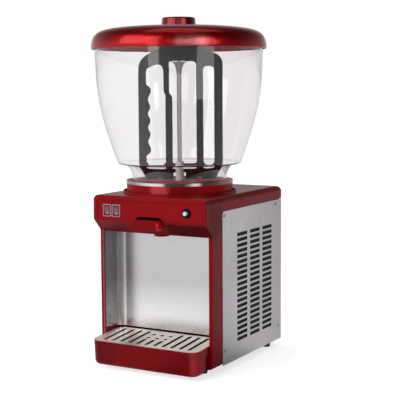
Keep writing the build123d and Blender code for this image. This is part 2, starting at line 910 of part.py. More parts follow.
def switch_housing(x):
    """Clear bezel in front of the fascia and the switch's body behind it."""
    wide, high = switch_width / 2, switch_height / 2
    bezel = block(plus_minus(x, wide), (fascia_inset - switch_bezel, fascia_inset),
                  plus_minus(switch_z, high))
    bezel = fillet(bezel.edges().filter_by(Axis.Y), switch_bezel_round)
    bezel = chamfer(front_edges(bezel), switch_bezel_bevel)
    back = fascia_inset + switch_body_depth
    housing = bezel + block(plus_minus(x, wide - switch_body_inset), (fascia_inset, back),
                            plus_minus(switch_z, high - switch_body_inset))
    housing -= block(plus_minus(x, rocker_width / 2 + rocker_gap),
                     (fascia_inset - switch_bezel - past, fascia_inset + rocker_bore_depth),
                     plus_minus(switch_z, rocker_height / 2 + rocker_gap))
    for step in (-1, 0, 1):
        housing += block(plus_minus(x, terminal_width / 2), (back, back + terminal_length),
                         plus_minus(switch_z + step * terminal_pitch, terminal_thickness / 2))
    return housing


def rocker(x):
    """A rocker whose ends are round its own pivot, pressed to its off side."""
    pivot = fascia_inset + rocker_pivot_depth
    radius = rocker_height / 2
    body = bar(plus_minus(x, rocker_width / 2), 0, 0, radius)
    crest = -rocker_pivot_depth - rocker_proud
    edge = crest + radius * tan(radians(rocker_tilt))
    keep = [(crest, 0), (edge, radius), (radius, radius), (radius, -radius), (edge, -radius)]
    body = body & side_profile(keep, plus_minus(x, rocker_width))
    return Pos(0, pivot, switch_z) * Rot(rocker_tilt, 0, 0) * body


def thermostat():
    """Thermostat body, its threaded bush and its three tabs."""
    end = fascia_back + thermostat_depth
    body = stub(thermostat_x, (fascia_back, end), thermostat_z, thermostat_radius)
    body += stub(thermostat_x, (fascia_inset - knob_ring_gap, fascia_back + bond),
                 thermostat_z, bush_radius)
    for step in (-1, 0, 1):
        body += block(plus_minus(thermostat_x + step * terminal_pitch, terminal_thickness / 2),
                      (end - bond, end + terminal_length),
                      plus_minus(thermostat_z - terminal_pitch, terminal_width / 2))
    bore = (fascia_inset - knob_height, fascia_back + spindle_reach + knob_ring_gap)
    return body - stub(thermostat_x, bore, thermostat_z, spindle_radius + slip_gap)


def knob_bezel():
    y = (fascia_inset - knob_bezel_height, fascia_inset)
    body = stub(thermostat_x, y, thermostat_z, knob_bezel_radius)
    body = fillet(front_edges(body), knob_bezel_round)
    return body - stub(thermostat_x, (y[0] - past, y[1] + past), thermostat_z,
                       knob_radius + knob_ring_gap)


def thermostat_knob():
    """The cap with the spindle that it is moulded on."""
    back = fascia_inset - knob_lift
    front = back - knob_height
    cap = stub(thermostat_x, (front, back), thermostat_z, knob_radius)
    cap = fillet(front_edges(cap), knob_round)
    groove = block(plus_minus(0, 2 * knob_radius), (front - past, front + knob_slot_depth),
                   plus_minus(0, knob_slot_width / 2))
    cap -= Pos(thermostat_x, 0, thermostat_z) * Rot(0, 45, 0) * groove
    return cap + stub(thermostat_x, (back - bond, fascia_back + spindle_reach), thermostat_z,
                      spindle_radius)


def bend_radii(points):
    """For each corner of a route, the largest arc that its two runs allow."""
    radii = []
    for a, b, c in zip(points, points[1:], points[2:]):
        first, second = Vector(*b) - Vector(*a), Vector(*c) - Vector(*b)
        turn = radians(first.get_angle(second))
        radii.append(0.45 * min(first.length, second.length) / tan(turn / 2))
    return radii


def routed(points, radius):
    """A round lead along straight runs joined by arcs."""
    path = FilletPolyline(*points, radius=bend_radii(points))
    start = Plane(origin=path @ 0, z_dir=path % 0)
    return sweep(start * Circle(radius), path=path)


def thermostat_probe():
    """The sensing bulb under the floor and the capillary that leads to it."""
    x1, y1 = bulb_length, bowl_axis - bulb_offset
    z1 = floor_bottom - bulb_radius - seat_gap
    bulb = bar((0, x1), y1, z1, bulb_radius)
    bulb = fillet(bulb.faces().sort_by(Axis.X)[0].edges(), bulb_round)
    start = fascia_back + thermostat_depth
    below = heater_leg + bulb_radius
    points = [(thermostat_x, start, thermostat_z), (thermostat_x, start + 16, thermostat_z),
              (thermostat_x - 12, start + 38, thermostat_z + 5),
              (thermostat_x - 26, start + 58, thermostat_z + 13),
              (x1 + 18, y1 - 11, z1 - below), (x1 + 12, y1, z1 - bulb_radius * 2),
              (x1 + 8, y1, z1), (x1 - bond, y1, z1)]
    return bulb + routed(points, capillary_radius)


# ---- drip tray --------------------------------------------------------------
def tilted(shape):
    """Swing a piece drawn flat about the tray's front upper edge."""
    return Pos(0, tray_front, tray_front_z) * Rot(tray_slope, 0, 0) * shape


def above_tray():
    """Everything above the tray's sloping upper edge."""
    reach = 2 * tray_length
    return tilted(block((-reach, reach), (-reach, reach), (0, reach)))


def grille_plan(gap):
    """The grille's outline, y from the tray's front edge, smaller by a gap."""
    inset = tray_rim + gap
    return plan_outline(tray_half_width - inset, (inset, tray_length - inset),
                        tray_corner - inset, tray_corner - inset)


def tray_well(inset):
    """The deep front of the tray, or its hollow, tapering to a rounded bottom."""
    plan = plan_outline(tray_half_width - inset, (tray_front + inset, tray_deep_back - inset),
                        tray_corner - inset, tray_back_corner - inset)
    well = Pos(0, 0, tray_front_z) * extrude(plan, -(tray_front_height - inset),
                                             taper=tray_taper)
    return fillet(bottom_edges(well), tray_bottom_round - inset)


def tray_shelf(inset, front, low, high):
    """One level of the tray's upper part, in plan from a front line to the back."""
    corner = tray_corner - inset if front < tray_deep_back / 2 else 0
    plan = plan_outline(tray_half_width - inset, (front + inset, tray_back - inset),
                        corner, tray_corner - inset)
    return plan_profile(plan, (low, high))


def drip_tray():
    low, step = tray_shelf_bottom, tray_shelf_bottom + tray_lip
    high = tray_front_z + tray_corner
    tray = tray_well(0) + tray_shelf(0, tray_front, step, high)
    tray += tray_shelf(0, tray_deep_back - tray_back_corner * 2, low, high)
    tray -= tray_well(tray_wall)
    tray -= tray_shelf(tray_wall, tray_front, step + tray_wall, high + past)
    tray -= tray_shelf(tray_wall, tray_deep_back - tray_back_corner * 2, low + tray_wall,
                       high + past)
    tray -= above_tray()
    seat = extrude(grille_plan(0), tray_corner)
    return tray - tilted(Pos(0, 0, -grille_thickness - seat_gap) * seat)


def drip_grille():
    plate = extrude(grille_plan(grille_gap), grille_thickness)
    depth = grille_thickness + 2 * past
    cuts = []
    for i in range(slot_count):
        offset = i - (slot_count - 1) / 2
        length = long_slot if abs(offset) > short_slots / 2 else short_slot
        slot = Pos(offset * slot_pitch, slot_start + length / 2, -past)
        cuts.append(extrude(slot * SlotOverall(length, slot_width, rotation=90), depth))
    for row in drain_rows:
        for i in range(short_slots):
            x = (i - (short_slots - 1) / 2) * slot_pitch
            cuts.append(Pos(x, row, grille_thickness / 2) * Cylinder(drain_radius, depth))
    return tilted(Pos(0, 0, -grille_thickness) * (plate - cuts))


# ---- tap --------------------------------------------------------------------
def spout():
    low = ceiling_bottom - spout_drop
    flange = (ceiling_top, ceiling_top + spout_flange)
    body = post(0, outlet_y, (low, ceiling_top), spout_radius)
    body = fillet(bottom_edges(body), spout_round)
    body += post(0, outlet_y, flange, spout_flange_radius)
    body -= post(0, outlet_y, (low - past, ceiling_bottom - bond), spout_radius - spout_wall)
    return body - post(0, outlet_y, (low - past, flange[1] + past), tube_radius + panel_gap)


def outlet_tube():
    """Soft tube from the floor outlet to the spout, pinched shut at the tap."""
    high, low = pinch_z + pinch_reach, pinch_z - pinch_reach
    squeezed = Ellipse(pinch_width / 2, pinch_thickness / 2)
    sections = [Pos(0, outlet_y, low) * Circle(tube_radius),
                Pos(0, outlet_y, pinch_z) * squeezed,
                Pos(0, outlet_y, high) * Circle(tube_radius)]
    tube = loft(sections) + post(0, outlet_y, (tube_bottom, low), tube_radius)
    tube += post(0, outlet_y, (high, tube_top), tube_radius)
    tube -= post(0, outlet_y, (tube_bottom - past, low), tube_bore)
    return tube - post(0, outlet_y, (high, tube_top + past), tube_bore)


def pinch_bar_offset():
    """From the tube's middle to the middle of either bar that pinches it."""
    return pinch_thickness / 2 + pinch_gap + pinch_bar_radius


def tap_lever():
    plan = RectangleRounded(handle_width, handle_height, handle_corner)
    handle = Pos(0, handle_back, handle_z) * Rot(90, 0, 0) * extrude(plan, handle_thickness)
    handle = fillet(front_edges(handle), handle_round)
    web = (-lever_web_half, lever_web_half)
    half = lever_web_height / 2
    arm = side_profile([(handle_back - bond, handle_z - half), (pivot_y, pivot_z - half),
                        (pivot_y, pivot_z + half), (handle_back - bond, handle_z + half)], web)
    hub = bar(plus_minus(0, lever_hub_half), pivot_y, pivot_z, lever_hub_radius)
    bar_y = outlet_y - pinch_bar_offset()
    front = bar_y - 2 * pinch_bar_radius
    back = min(bar_y, outlet_y - tube_radius - 2 * pinch_gap)
    upright = side_profile([(pivot_y - half, pivot_z), (pivot_y + half / 2, pivot_z),
                            (back, pinch_z - lever_hub_radius), (back, pinch_z + pinch_gap),
                            (front, pinch_z + pinch_gap), (front, pinch_z - lever_hub_half)],
                           web)
    tip = bar(plus_minus(0, pinch_bar_half), bar_y, pinch_z, pinch_bar_radius)
    lever = handle + arm + hub + upright + tip
    return lever - bar(plus_minus(0, handle_width), pivot_y, pivot_z, pin_radius + slip_gap)


def pivot_pin():
    end = ear_inner + ear_sheet
    pin = bar((-end, end + pin_end), pivot_y, pivot_z, pin_radius)
    return pin + bar((-end - pin_head, -end), pivot_y, pivot_z, pin_head_radius)


def pin_clip():
    start = ear_inner + ear_sheet + panel_gap
    clip = bar((start, start + clip_thickness), pivot_y, pivot_z, clip_radius)
    return clip - bar((start - past, start + clip_thickness + past), pivot_y, pivot_z,
                      pin_radius)


def return_spring():
    """Torsion spring beside the lever's hub; its legs bear on the ear and the lever."""
    start = lever_hub_half + spring_gap
    length = ear_inner - spring_gap - start
    path = Helix(length / spring_turns, length, spring_radius)
    section = Plane(origin=path @ 0, z_dir=path % 0) * Circle(spring_wire)
    coil = sweep(section, path=path, is_frenet=True)
    return Pos(start, pivot_y, pivot_z) * Rot(0, 90, 0) * coil


def valve_bracket():
    low = ceiling_top
    sides = (ear_inner, ear_inner + ear_sheet)
    ear = side_profile([(ear_front, low), (ear_back, low), (ear_back, ear_top),
                        (ear_back - ear_foot, ear_top), (ear_front, pivot_z + ear_shoulder)],
                       sides)
    ear -= bar((0, 2 * ear_inner), pivot_y, pivot_z, pin_radius + slip_gap)
    flap = block((ear_inner, ear_inner + ear_sheet + ear_foot), (ear_front, ear_back),
                 (low, low + ear_sheet))
    bracket = both_sides(ear + flap)
    side = ear_inner + bond
    bracket += block((-side, side), (ear_back - ear_sheet, ear_back),
                     (ceiling_top + spout_flange + past, ear_top))
    nose_y = outlet_y + pinch_bar_offset()
    span = plus_minus(0, pinch_bar_half + ear_sheet)
    bracket += bar(span, nose_y, pinch_z, pinch_bar_radius)
    bracket += block(span, (nose_y, ear_back - bond), plus_minus(pinch_z, pinch_bar_radius))
    for x, y in bracket_foot_places():
        bracket -= post(x, y, (low - past, low + ear_sheet + past), screw_radius + tuck_gap)
    return bracket


# ---- bowl and lid -----------------------------------------------------------
def bowl_wall_points():
    """The outer wall from the shoulder to the rim."""
    low_r, low_z = crease_radius + bowl_flange_round / 2, crease_z + bowl_flange_round
    rise, swell = bowl_top - low_z, bowl_rim_radius - low_r
    shape = [(0, 0), (0.285, 0.147), (0.565, 0.311), (0.772, 0.476), (0.9, 0.66),
             (0.968, 0.88), (1, 1)]
    return [(low_r + r * swell, low_z + z * rise) for r, z in shape]


def neck_points():
    """The outer side of the neck, from the flange up to the shoulder."""
    reach = crease_radius - bowl_flange_round * 1.7 - neck_radius
    rise = crease_z - bowl_flange_round / 2 - neck_z
    shape = [(0, 0), (0.05, 0.33), (0.28, 0.75), (1, 1)]
    return [(neck_radius + r * reach, neck_z + z * rise) for r, z in shape]


def bowl_solid(neck, wall, skirt_r, skirt_z, flange, top):
    """Everything inside one skin of the bowl, from the axis outwards."""
    foot = [(0, skirt_z), (skirt_r, skirt_z), (skirt_r, flange), (neck[0][0], flange), neck[0]]
    head = [wall[-1], (0, wall[-1][1])]
    if top > wall[-1][1]:
        head = [wall[-1], (wall[-1][0], top), (0, top)]
    return turned(Curve() + [Polyline(*foot), Spline(*neck), Line(neck[-1], wall[0]),
                             Spline(*wall), Polyline(*head, (0, skirt_z))])


def bowl():
    """Clear bowl: wall, shoulder and neck above a flange with a skirt round it."""
    neck, wall = neck_points(), bowl_wall_points()
    outer = bowl_solid(neck, wall, bowl_skirt_radius, bowl_skirt_bottom, bowl_flange_top,
                       bowl_top)
    inner_neck, inner_wall = set_in(neck, bowl_wall), set_in(wall, bowl_wall)
    inner_neck[0] = (neck_radius - bowl_wall, neck_z)
    cavity = bowl_solid(inner_neck, inner_wall, neck_radius - bowl_wall - slip_gap,
                        bowl_flange_top, bowl_flange_top + slip_gap, bowl_top + past)
    body = outer - cavity
    body -= post(0, bowl_axis, (bowl_skirt_bottom - past, bowl_flange_bottom),
                 bowl_skirt_radius - bowl_skirt_wall)
    body -= post(0, bowl_axis, (bowl_flange_bottom - past, bowl_flange_top + past),
                 bowl_mouth_radius)
    rims = [e for e in body.edges().filter_by(GeomType.CIRCLE)
            if abs(e.center().Z - bowl_flange_top) < slip_gap]
    return fillet(sorted(rims, key=lambda e: e.length)[-1], bowl_flange_round)


def bowl_band():
    """Polished band round the bowl's flange."""
    inner = bowl_skirt_radius + slip_gap
    return ring((bowl_flange_top - bowl_band_height, bowl_flange_top),
                inner + bowl_band_sheet, inner)


def lid_skin_points():
    """The dome's outer side, from the rim's bead to the flat top."""
    shape = [(1, 0.04), (1, 0.15), (0.987, 0.38), (0.957, 0.585), (0.913, 0.712),
             (0.83, 0.82), (0.713, 0.887), (0.51, 0.945)]
    points = [(lid_radius * a, lid_bottom + b * lid_height) for a, b in shape]
    return points + [(lid_flat_radius, lid_top - lid_flat_step)]


def lid():
    skin = lid_skin_points()
    edge = [(0, lid_bottom), (lid_radius - lid_edge_round, lid_bottom), skin[0]]
    crown = [skin[-1], (lid_flat_radius - lid_flat_step, lid_top), (0, lid_top),
             (0, lid_bottom)]
    outer = turned(Curve() + [Polyline(*edge), Spline(*skin), Polyline(*crown)])
    under = set_in(skin, lid_wall)
    under[-1] = (lid_flat_radius, lid_top - lid_wall - lid_flat_step)
    mouth_z = lid_bottom - past
    mouth = [(0, mouth_z), (under[0][0], mouth_z), under[0]]
    close = [under[-1], (0, under[-1][1]), (0, mouth_z)]
    cavity = turned(Curve() + [Polyline(*mouth), Spline(*under), Polyline(*close)])
    rib = ring((lid_rib_bottom, lid_top), lid_rib_radius, lid_rib_radius - lid_rib_wall)
    ledge_z = bowl_top + lift_gap
    rib += ring((ledge_z, ledge_z + lid_wall), lid_radius, lid_rib_radius - bond)
    shell = outer - cavity + (rib & outer)
    return shell - post(0, bowl_axis, (lid_bottom, lid_top + past),
                        lid_screw_radius + slip_gap)


def lid_knob():
    body = Pos(0, bowl_axis, lid_top + lid_knob_height / 2)
    body *= Cone(lid_knob_radius, lid_knob_radius - lid_knob_taper, lid_knob_height)
    body = fillet(top_edges(body), lid_knob_round)
    return body - post(0, bowl_axis, (lid_top - past, lid_top + lid_screw_depth + past),
                       lid_screw_radius)


def lid_knob_screw():
    under = lid_top - lid_wall - lid_flat_step
    head = post(0, bowl_axis, (under - lid_screw_head, under), lid_screw_head_radius)
    head = fillet(bottom_edges(head), screw_head_round)
    return head + post(0, bowl_axis, (under, lid_top + lid_screw_depth), lid_screw_radius)


# ---- pedestal, heated floor and riser ---------------------------------------
def pedestal():
    body = post(0, bowl_axis, (cabinet_top, pedestal_top), pedestal_radius)
    body = fillet(top_edges(body), pedestal_round)
    spigot = (cabinet_top - pedestal_spigot_drop, cabinet_top)
    body += post(0, bowl_axis, spigot, cover_hole_radius - panel_gap)
    body -= post(0, bowl_axis, (spigot[0] - past, pedestal_top), pedestal_inner)
    return body - post(0, bowl_axis, (floor_bottom - seat_gap, pedestal_top + past),
                       pedestal_bore)


def bowl_seal():
    return ring((pedestal_top, pedestal_top + seal_height), pedestal_radius - seal_inset,
                pedestal_bore + seal_inset)


def heating_floor():
    plate = post(0, bowl_axis, (floor_bottom, floor_top), floor_radius)
    plate = fillet(top_edges(plate), floor_round)
    spigot = tube_bore - tuck_gap
    plate += post(0, outlet_y, (floor_bottom - spigot_drop, floor_bottom + bond), spigot)
    plate -= post(0, outlet_y, (floor_bottom - spigot_drop - past, floor_top + past),
                  spigot - spigot_wall)
    return plate - post(0, bowl_axis, (floor_bottom - past, floor_top + past), riser_radius)


def heater_ring():
    z = floor_bottom - heater_rod - seat_gap
    start = 90 + (360 - heater_sweep) / 2
    circle = Plane.XZ * (Pos(heater_radius, z) * Circle(heater_rod))
    rod = Rot(0, 0, start) * revolve(circle, Axis.Z, heater_sweep)
    for angle in (start, start + heater_sweep):
        x, y = heater_radius * cos(radians(angle)), heater_radius * sin(radians(angle))
        rod += Pos(x, y, z) * Sphere(heater_rod)
        rod += post(x, y, (z - heater_leg, z), heater_rod)
        rod += post(x, y, (z - heater_leg - heater_pin, z - heater_leg + bond),
                    heater_pin_radius)
    return Pos(0, bowl_axis, 0) * rod


def thermal_cutout():
    y = bowl_axis + cutout_offset
    low = floor_bottom - cutout_height
    body = post(cutout_x, y, (low, floor_bottom), cutout_radius)
    for side in (-1, 1):
        body += block(plus_minus(cutout_x + side * cutout_radius / 2, terminal_thickness / 2),
                      plus_minus(y, terminal_width / 2), (low - terminal_length, low + bond))
    return body


def riser_tube():
    return ring((floor_bottom - riser_below, riser_top), riser_radius, riser_bore)


def riser_nut():
    nut = extrude(RegularPolygon(nut_flats / 2, 6, major_radius=False), nut_height)
    nut = Pos(0, bowl_axis, floor_bottom - nut_height) * nut
    return nut - post(0, bowl_axis, (floor_bottom - riser_below, floor_bottom + past),
                      riser_radius)


def riser_collar():
    body = ring((floor_top, collar_top), collar_radius, riser_radius)
    return chamfer(top_edges(body).sort_by(SortBy.LENGTH)[-1], collar_bevel)


def riser_bush():
    """The flared bearing at the top of the riser, which guides the drive shaft."""
    r0, r1 = riser_radius + bush_wall, bush_top_radius
    z0, z1 = riser_top - bush_lap, bush_top
    rise, swell = z1 - z0, r1 - r0
    shape = [(0, 0.2), (0.19, 0.5), (0.82, 0.87), (1, 0.91)]
    flare = [(r0 + r * swell, z0 + z * rise) for r, z in shape]
    outline = Curve() + [Polyline((0, z1), (0, z0), (r0, z0), flare[0]), Spline(*flare),
                         Polyline(flare[-1], (r1, z1), (0, z1))]
    body = turned(outline) - post(0, bowl_axis, (z0 - past, riser_top), riser_radius)
    return body - post(0, bowl_axis, (z0, z1 + past), drive_radius + slip_gap)


# ---- agitator ---------------------------------------------------------------
def drive_shaft():
    return post(0, bowl_axis, (coupling_split, drive_top), drive_radius)


def agitator_hub():
    body = post(0, bowl_axis, (hub_bottom, hub_top), hub_radius)
    body = chamfer(bottom_edges(body), hub_bevel)
    return body - post(0, bowl_axis, (hub_bottom - past, drive_top), drive_radius)


def paddle_outline():
    """The plate's own outline: square shoulders, a low arch and a drawn-in foot."""
    left, right, top, low = -paddle_left, paddle_right, paddle_top, paddle_bottom
    foot, waist = paddle_foot_inset, low + paddle_foot_height
    points = [(left + foot, low), (right - foot, low), (right, waist), (right, top - 29),
              (44, top - 7), (24, top), (-20, top), (-38, top - 7), (left, top - 35),
              (left, waist)]
    radii = [4, 4, 8, 25, 12, 10, 10, 12, 40, 8]
    return make_face(FilletPolyline(*points, radius=radii, close=True))


def grip_slot():
    """The wavy slot that lets a hand take hold of the paddle."""
    edge, crest = -grip_edge, -grip_crest
    low, high = paddle_bottom + slot_base, paddle_top - slot_head
    jog = paddle_bottom + jog_height
    first = paddle_bottom + grip_first
    wave = [(edge, first + 20)]
    for i in range(grip_ridges):
        z = first - i * grip_pitch
        wave.append((crest, z))
        if i < grip_ridges - 1:
            wave.append((crest - grip_depth, z - grip_pitch / 2))
    wave.append((edge, first - (grip_ridges - 1) * grip_pitch - 17))
    right_high, right_low = -grip_right_high, -grip_right_low
    rim = [wave[-1], (edge, low + 8), (edge + 6, low), (right_low - 6, low),
           (right_low, low + 6), (right_low, jog), (right_high, jog + 10),
           (right_high, high - 9), (right_high - 5, high + 1), (-50, high + 3),
           (-62, high - 1), (edge + 3, high - 6), (edge, high - 13)]
    return make_face(Curve() + [Line((edge, high - 13), wave[0]), Spline(*wave),
                                Polyline(*rim)])


def centre_window():
    left_high, left_low, right = -window_left_high, -window_left_low, window_right
    low, high = window_bottom, paddle_top - window_head
    jog = paddle_bottom + jog_height
    points = [(left_high, high), (right, high), (right, low), (left_low, low),
              (left_low, jog - 3), (left_high, jog + 6)]
    return make_face(FilletPolyline(*points, radius=[2, 9, 6, 4, 2, 3], close=True))


def right_slot():
    low, high = paddle_bottom + slot_base, paddle_top - slot_head - past
    points = [(right_slot_left, low), (right_slot_right, low), (right_slot_right, high),
              (right_slot_left, high)]
    return make_face(FilletPolyline(*points, radius=right_slot_round, close=True))


def agitator_paddle():
    """A flat plate with slots; behind the riser's collar its foot bows out."""
    outline = paddle_outline() - grip_slot() - centre_window() - right_slot()
    outline -= Pos(0, paddle_bottom) * Rectangle(2 * notch_half, 2 * notch_height)
    for side in (-1, 1):
        outline -= Pos(side * foot_notch_x, paddle_bottom) * Circle(foot_notch_radius)
    plate = Plane.XZ * extrude(outline, paddle_thickness / 2, both=True)
    turn = Pos(0, bowl_axis, 0) * Rot(0, 0, paddle_turn)
    plate = turn * plate
    bore = collar_radius + sleeve_gap
    plate -= post(0, bowl_axis, (paddle_bottom, window_bottom + past), bore)
    sleeve = ring((notch_top, window_bottom), bore + sleeve_wall, bore)
    behind = turn * block(plus_minus(0, 2 * bore), (0, 2 * bore), (0, paddle_top))
    plate += sleeve & behind
    return plate - post(0, bowl_axis, (bush_top, hub_top + tuck_gap), hub_radius + slip_gap)


# ---- gearmotor --------------------------------------------------------------
def motor_bracket():
    end, y = bracket_end, (bracket_front, bracket_back)
    body = block((-end, end), y, (bracket_z, bracket_z + bracket_sheet))
    body += both_sides(block((end - bracket_sheet, end), y,
                             (bracket_z, cover_bottom - bracket_sheet)))
    for edge in (y[0], y[1] - bracket_sheet):
        body += block((-end, end), (edge, edge + bracket_sheet),
                      (bracket_z - bracket_lip, bracket_z + bracket_sheet))
    through = (bracket_z - past, bracket_z + bracket_sheet + past)
    body -= post(0, bowl_axis, through, 2 * output_radius)
    for x, py in gearbox_bolt_places():
        body -= post(x, py, through, screw_radius + bolt_gap)
    for py, z in bracket_side_places():
        body -= bar(plus_minus(0, end + past), py, z, screw_radius + bolt_gap)
    return body


def gearbox():
    low = bracket_z - gearbox_height
    body = block(plus_minus(0, gearbox_width / 2), plus_minus(bowl_axis, gearbox_depth / 2),
                 (low, bracket_z))
    body = fillet(body.edges().filter_by(Axis.Z), gearbox_round)
    body -= post(0, bowl_axis, (low + gearbox_floor, bracket_z + past),
                 output_radius + slip_gap)
    for x, y in gearbox_bolt_places():
        body -= post(x, y, (bracket_z - bolt_depth - past, bracket_z + past), screw_radius)
    return body


def drive_motor():
    top = bracket_z - gearbox_height
    low = top - motor_length
    body = post(0, bowl_axis, (low, top), motor_radius)
    body = fillet(bottom_edges(body), motor_round)
    for i in range(motor_slots):
        slot = block(plus_minus(motor_radius, motor_round), plus_minus(0, motor_slot_width / 2),
                     (low + motor_slot_start, low + motor_slot_start + motor_slot_height))
        body -= Pos(0, bowl_axis, 0) * Rot(0, 0, i * 360 / motor_slots) * slot
    return body


def output_shaft():
    low = bracket_z - gearbox_height + gearbox_floor + panel_gap
    return post(0, bowl_axis, (low, output_top), output_radius)


def shaft_coupling():
    body = post(0, bowl_axis, (coupling_bottom, coupling_top), coupling_radius)
    body -= post(0, bowl_axis, (coupling_bottom - past, coupling_split), output_radius)
    return body - post(0, bowl_axis, (coupling_split - past, coupling_top + past),
                       drive_radius)


# ---- rear equipment ---------------------------------------------------------
def fan_screw_places():
    return [(fan_x + sx * fan_hole_offset, fan_z + sz * fan_hole_offset)
            for sx in (-1, 1) for sz in (-1, 1)]


def fan_frame():
    y = (rear_inner - fan_depth, rear_inner - slip_gap)
    through = (y[0] - past, y[1] + past)
    body = block(plus_minus(fan_x, fan_size / 2), y, plus_minus(fan_z, fan_size / 2))
    body = fillet(body.edges().filter_by(Axis.Y), fan_round)
    body -= stub(fan_x, through, fan_z, fan_duct_radius)
    web = (y[0], y[0] + fan_web)
    body += stub(fan_x, web, fan_z, fan_hub_radius)
    strut = block(plus_minus(0, fan_duct_radius + bond), web, plus_minus(0, fan_strut / 2))
    for turn in (45, 135):
        body += Pos(fan_x, 0, fan_z) * Rot(0, turn, 0) * strut
    for x, z in fan_screw_places():
        body -= stub(x, through, z, fan_hole_radius)
    return body - stub(fan_x, (web[0] - past, web[1] + past), fan_z, fan_spindle + slip_gap)


def fan_rotor():
    y0 = rear_inner - fan_depth + fan_web + fan_side_gap
    y1 = rear_inner - fan_web
    rotor = stub(fan_x, (y0, y1), fan_z, fan_hub_radius)
    rotor = fillet(rotor.faces().sort_by(Axis.Y)[-1].edges(), fan_web / 2)
    reach = fan_duct_radius - fan_tip_gap
    length = reach - fan_hub_radius + bond
    blade = Box(length, fan_blade_sheet, fan_blade_chord)
    blade = Pos(reach - length / 2, 0, 0) * Rot(fan_blade_pitch, 0, 0) * blade
    blade = blade & (Rot(90, 0, 0) * Cylinder(reach, 2 * fan_blade_chord))
    middle = Pos(fan_x, (y0 + y1) / 2, fan_z)
    for i in range(fan_blades):
        rotor += middle * Rot(0, i * 360 / fan_blades, 0) * blade
    return rotor + stub(fan_x, (y0 - fan_web, y0 + bond), fan_z, fan_spindle)


def fan_screws():
    screws = []
    for x, z in fan_screw_places():
        head = stub(x, (rear_face, rear_face + screw_head), z, screw_head_radius)
        tip = rear_inner - fan_depth + fan_strut
        screws.append(head + stub(x, (tip, rear_face), z, fan_screw_radius))
    return screws


def power_inlet():
    """Appliance inlet with three pins; its flange sits on the rear panel."""
    w, h = inlet_width / 2, inlet_height / 2
    face = rear_face + inlet_wall
    body = block(plus_minus(inlet_x, w), (rear_face - inlet_depth, rear_face + bond),
                 plus_minus(inlet_z, h))
    flange = block(plus_minus(inlet_x, inlet_flange_width / 2), (rear_face, face),
                   plus_minus(inlet_z, inlet_flange_height / 2))
    body += fillet(flange.edges().filter_by(Axis.Y), inlet_flange_round)
    tongue_y = rear_inner - panel_gap
    body += block(plus_minus(inlet_x, w + inlet_tongue), (tongue_y - inlet_tongue * 2, tongue_y),
                  plus_minus(inlet_z, inlet_pin_height))
    floor_y = face - inlet_cavity_depth
    body -= block(plus_minus(inlet_x, w - inlet_wall), (floor_y, face + past),
                  plus_minus(inlet_z, h - inlet_wall))
    for step, rise in ((-1, -1), (0, 1), (1, -1)):
        body += block(plus_minus(inlet_x + step * inlet_pin_spacing, inlet_pin_width / 2),
                      (floor_y - bond, floor_y + inlet_pin_length),
                      plus_minus(inlet_z + rise * inlet_pin_width, inlet_pin_height / 2))
    return body


def terminal_block():
    y = rear_face - terminals_inset
    top = pan_top + terminals_height
    body = block(plus_minus(terminals_x, terminals_width / 2),
                 plus_minus(y, terminals_depth / 2), (pan_top, top))
    pitch = terminals_width / (terminals_ways + 0.5)
    for i in range(terminals_ways):
        x = terminals_x + (i - (terminals_ways - 1) / 2) * pitch
        body -= post(x, y - terminals_depth / 6, (top - terminals_height / 2, top + past),
                     terminals_hole)
    return body


def main():
    os.makedirs("parts", exist_ok=True)
    panel = side_panel()
    pieces = {
        "base_pan": base_pan(),
        "front_frame": front_frame(),
        "top_cover": top_cover(),
        "control_fascia": control_fascia(),
        "splash_panel": splash_panel(),
        "side_panel_right": panel,
        "side_panel_left": mirrored(panel),
        "rear_panel": rear_panel(),
        "cabinet_screws": cabinet_screws(),
        "blank_label": label_plate(),
        "vent_filters": vent_filters(),
        "thermostat": thermostat(),
        "thermostat_bezel": knob_bezel(),
        "thermostat_knob": thermostat_knob(),
        "thermostat_probe": thermostat_probe(),
        "drip_tray": drip_tray(),
        "drip_grille": drip_grille(),
        "spout": spout(),
        "outlet_tube": outlet_tube(),
        "tap_lever": tap_lever(),
        "lever_pivot_pin": pivot_pin(),
        "lever_pin_clip": pin_clip(),
        "lever_return_spring": return_spring(),
        "valve_bracket": valve_bracket(),
        "inner_screws": inner_screws(),
        "bowl": bowl(),
        "bowl_band": bowl_band(),
        "bowl_seal": bowl_seal(),
        "lid": lid(),
        "lid_knob": lid_knob(),
        "lid_knob_screw": lid_knob_screw(),
        "pedestal": pedestal(),
        "heating_floor": heating_floor(),
        "heater_ring": heater_ring(),
        "thermal_cutout": thermal_cutout(),
        "riser_tube": riser_tube(),
        "riser_nut": riser_nut(),
        "riser_collar": riser_collar(),
        "riser_bush": riser_bush(),
        "drive_shaft": drive_shaft(),
        "agitator_hub": agitator_hub(),
        "agitator_paddle": agitator_paddle(),
        "motor_bracket": motor_bracket(),
        "gearbox": gearbox(),
        "drive_motor": drive_motor(),
        "output_shaft": output_shaft(),
        "shaft_coupling": shaft_coupling(),
        "fan_frame": fan_frame(),
        "fan_rotor": fan_rotor(),
        "fan_screws": fan_screws(),
        "power_inlet": power_inlet(),
        "terminal_block": terminal_block(),
    }
    for name, x in zip(("heat_switch", "mixer_switch"), switch_x):
        pieces[name + "_housing"] = switch_housing(x)
        pieces[name + "_rocker"] = rocker(x)
    names = ("foot_front_left", "foot_front_right", "foot_rear_left", "foot_rear_right")
    for name, (x, y) in zip(names, foot_places()):
        pieces[name] = foot(x, y)
    for name, shape in pieces.items():
        save(name, shape)


main()
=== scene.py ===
"""Looks of a countertop hot drink dispenser: finishes, camera and studio."""

import math

import bpy
from mathutils import Matrix, Vector

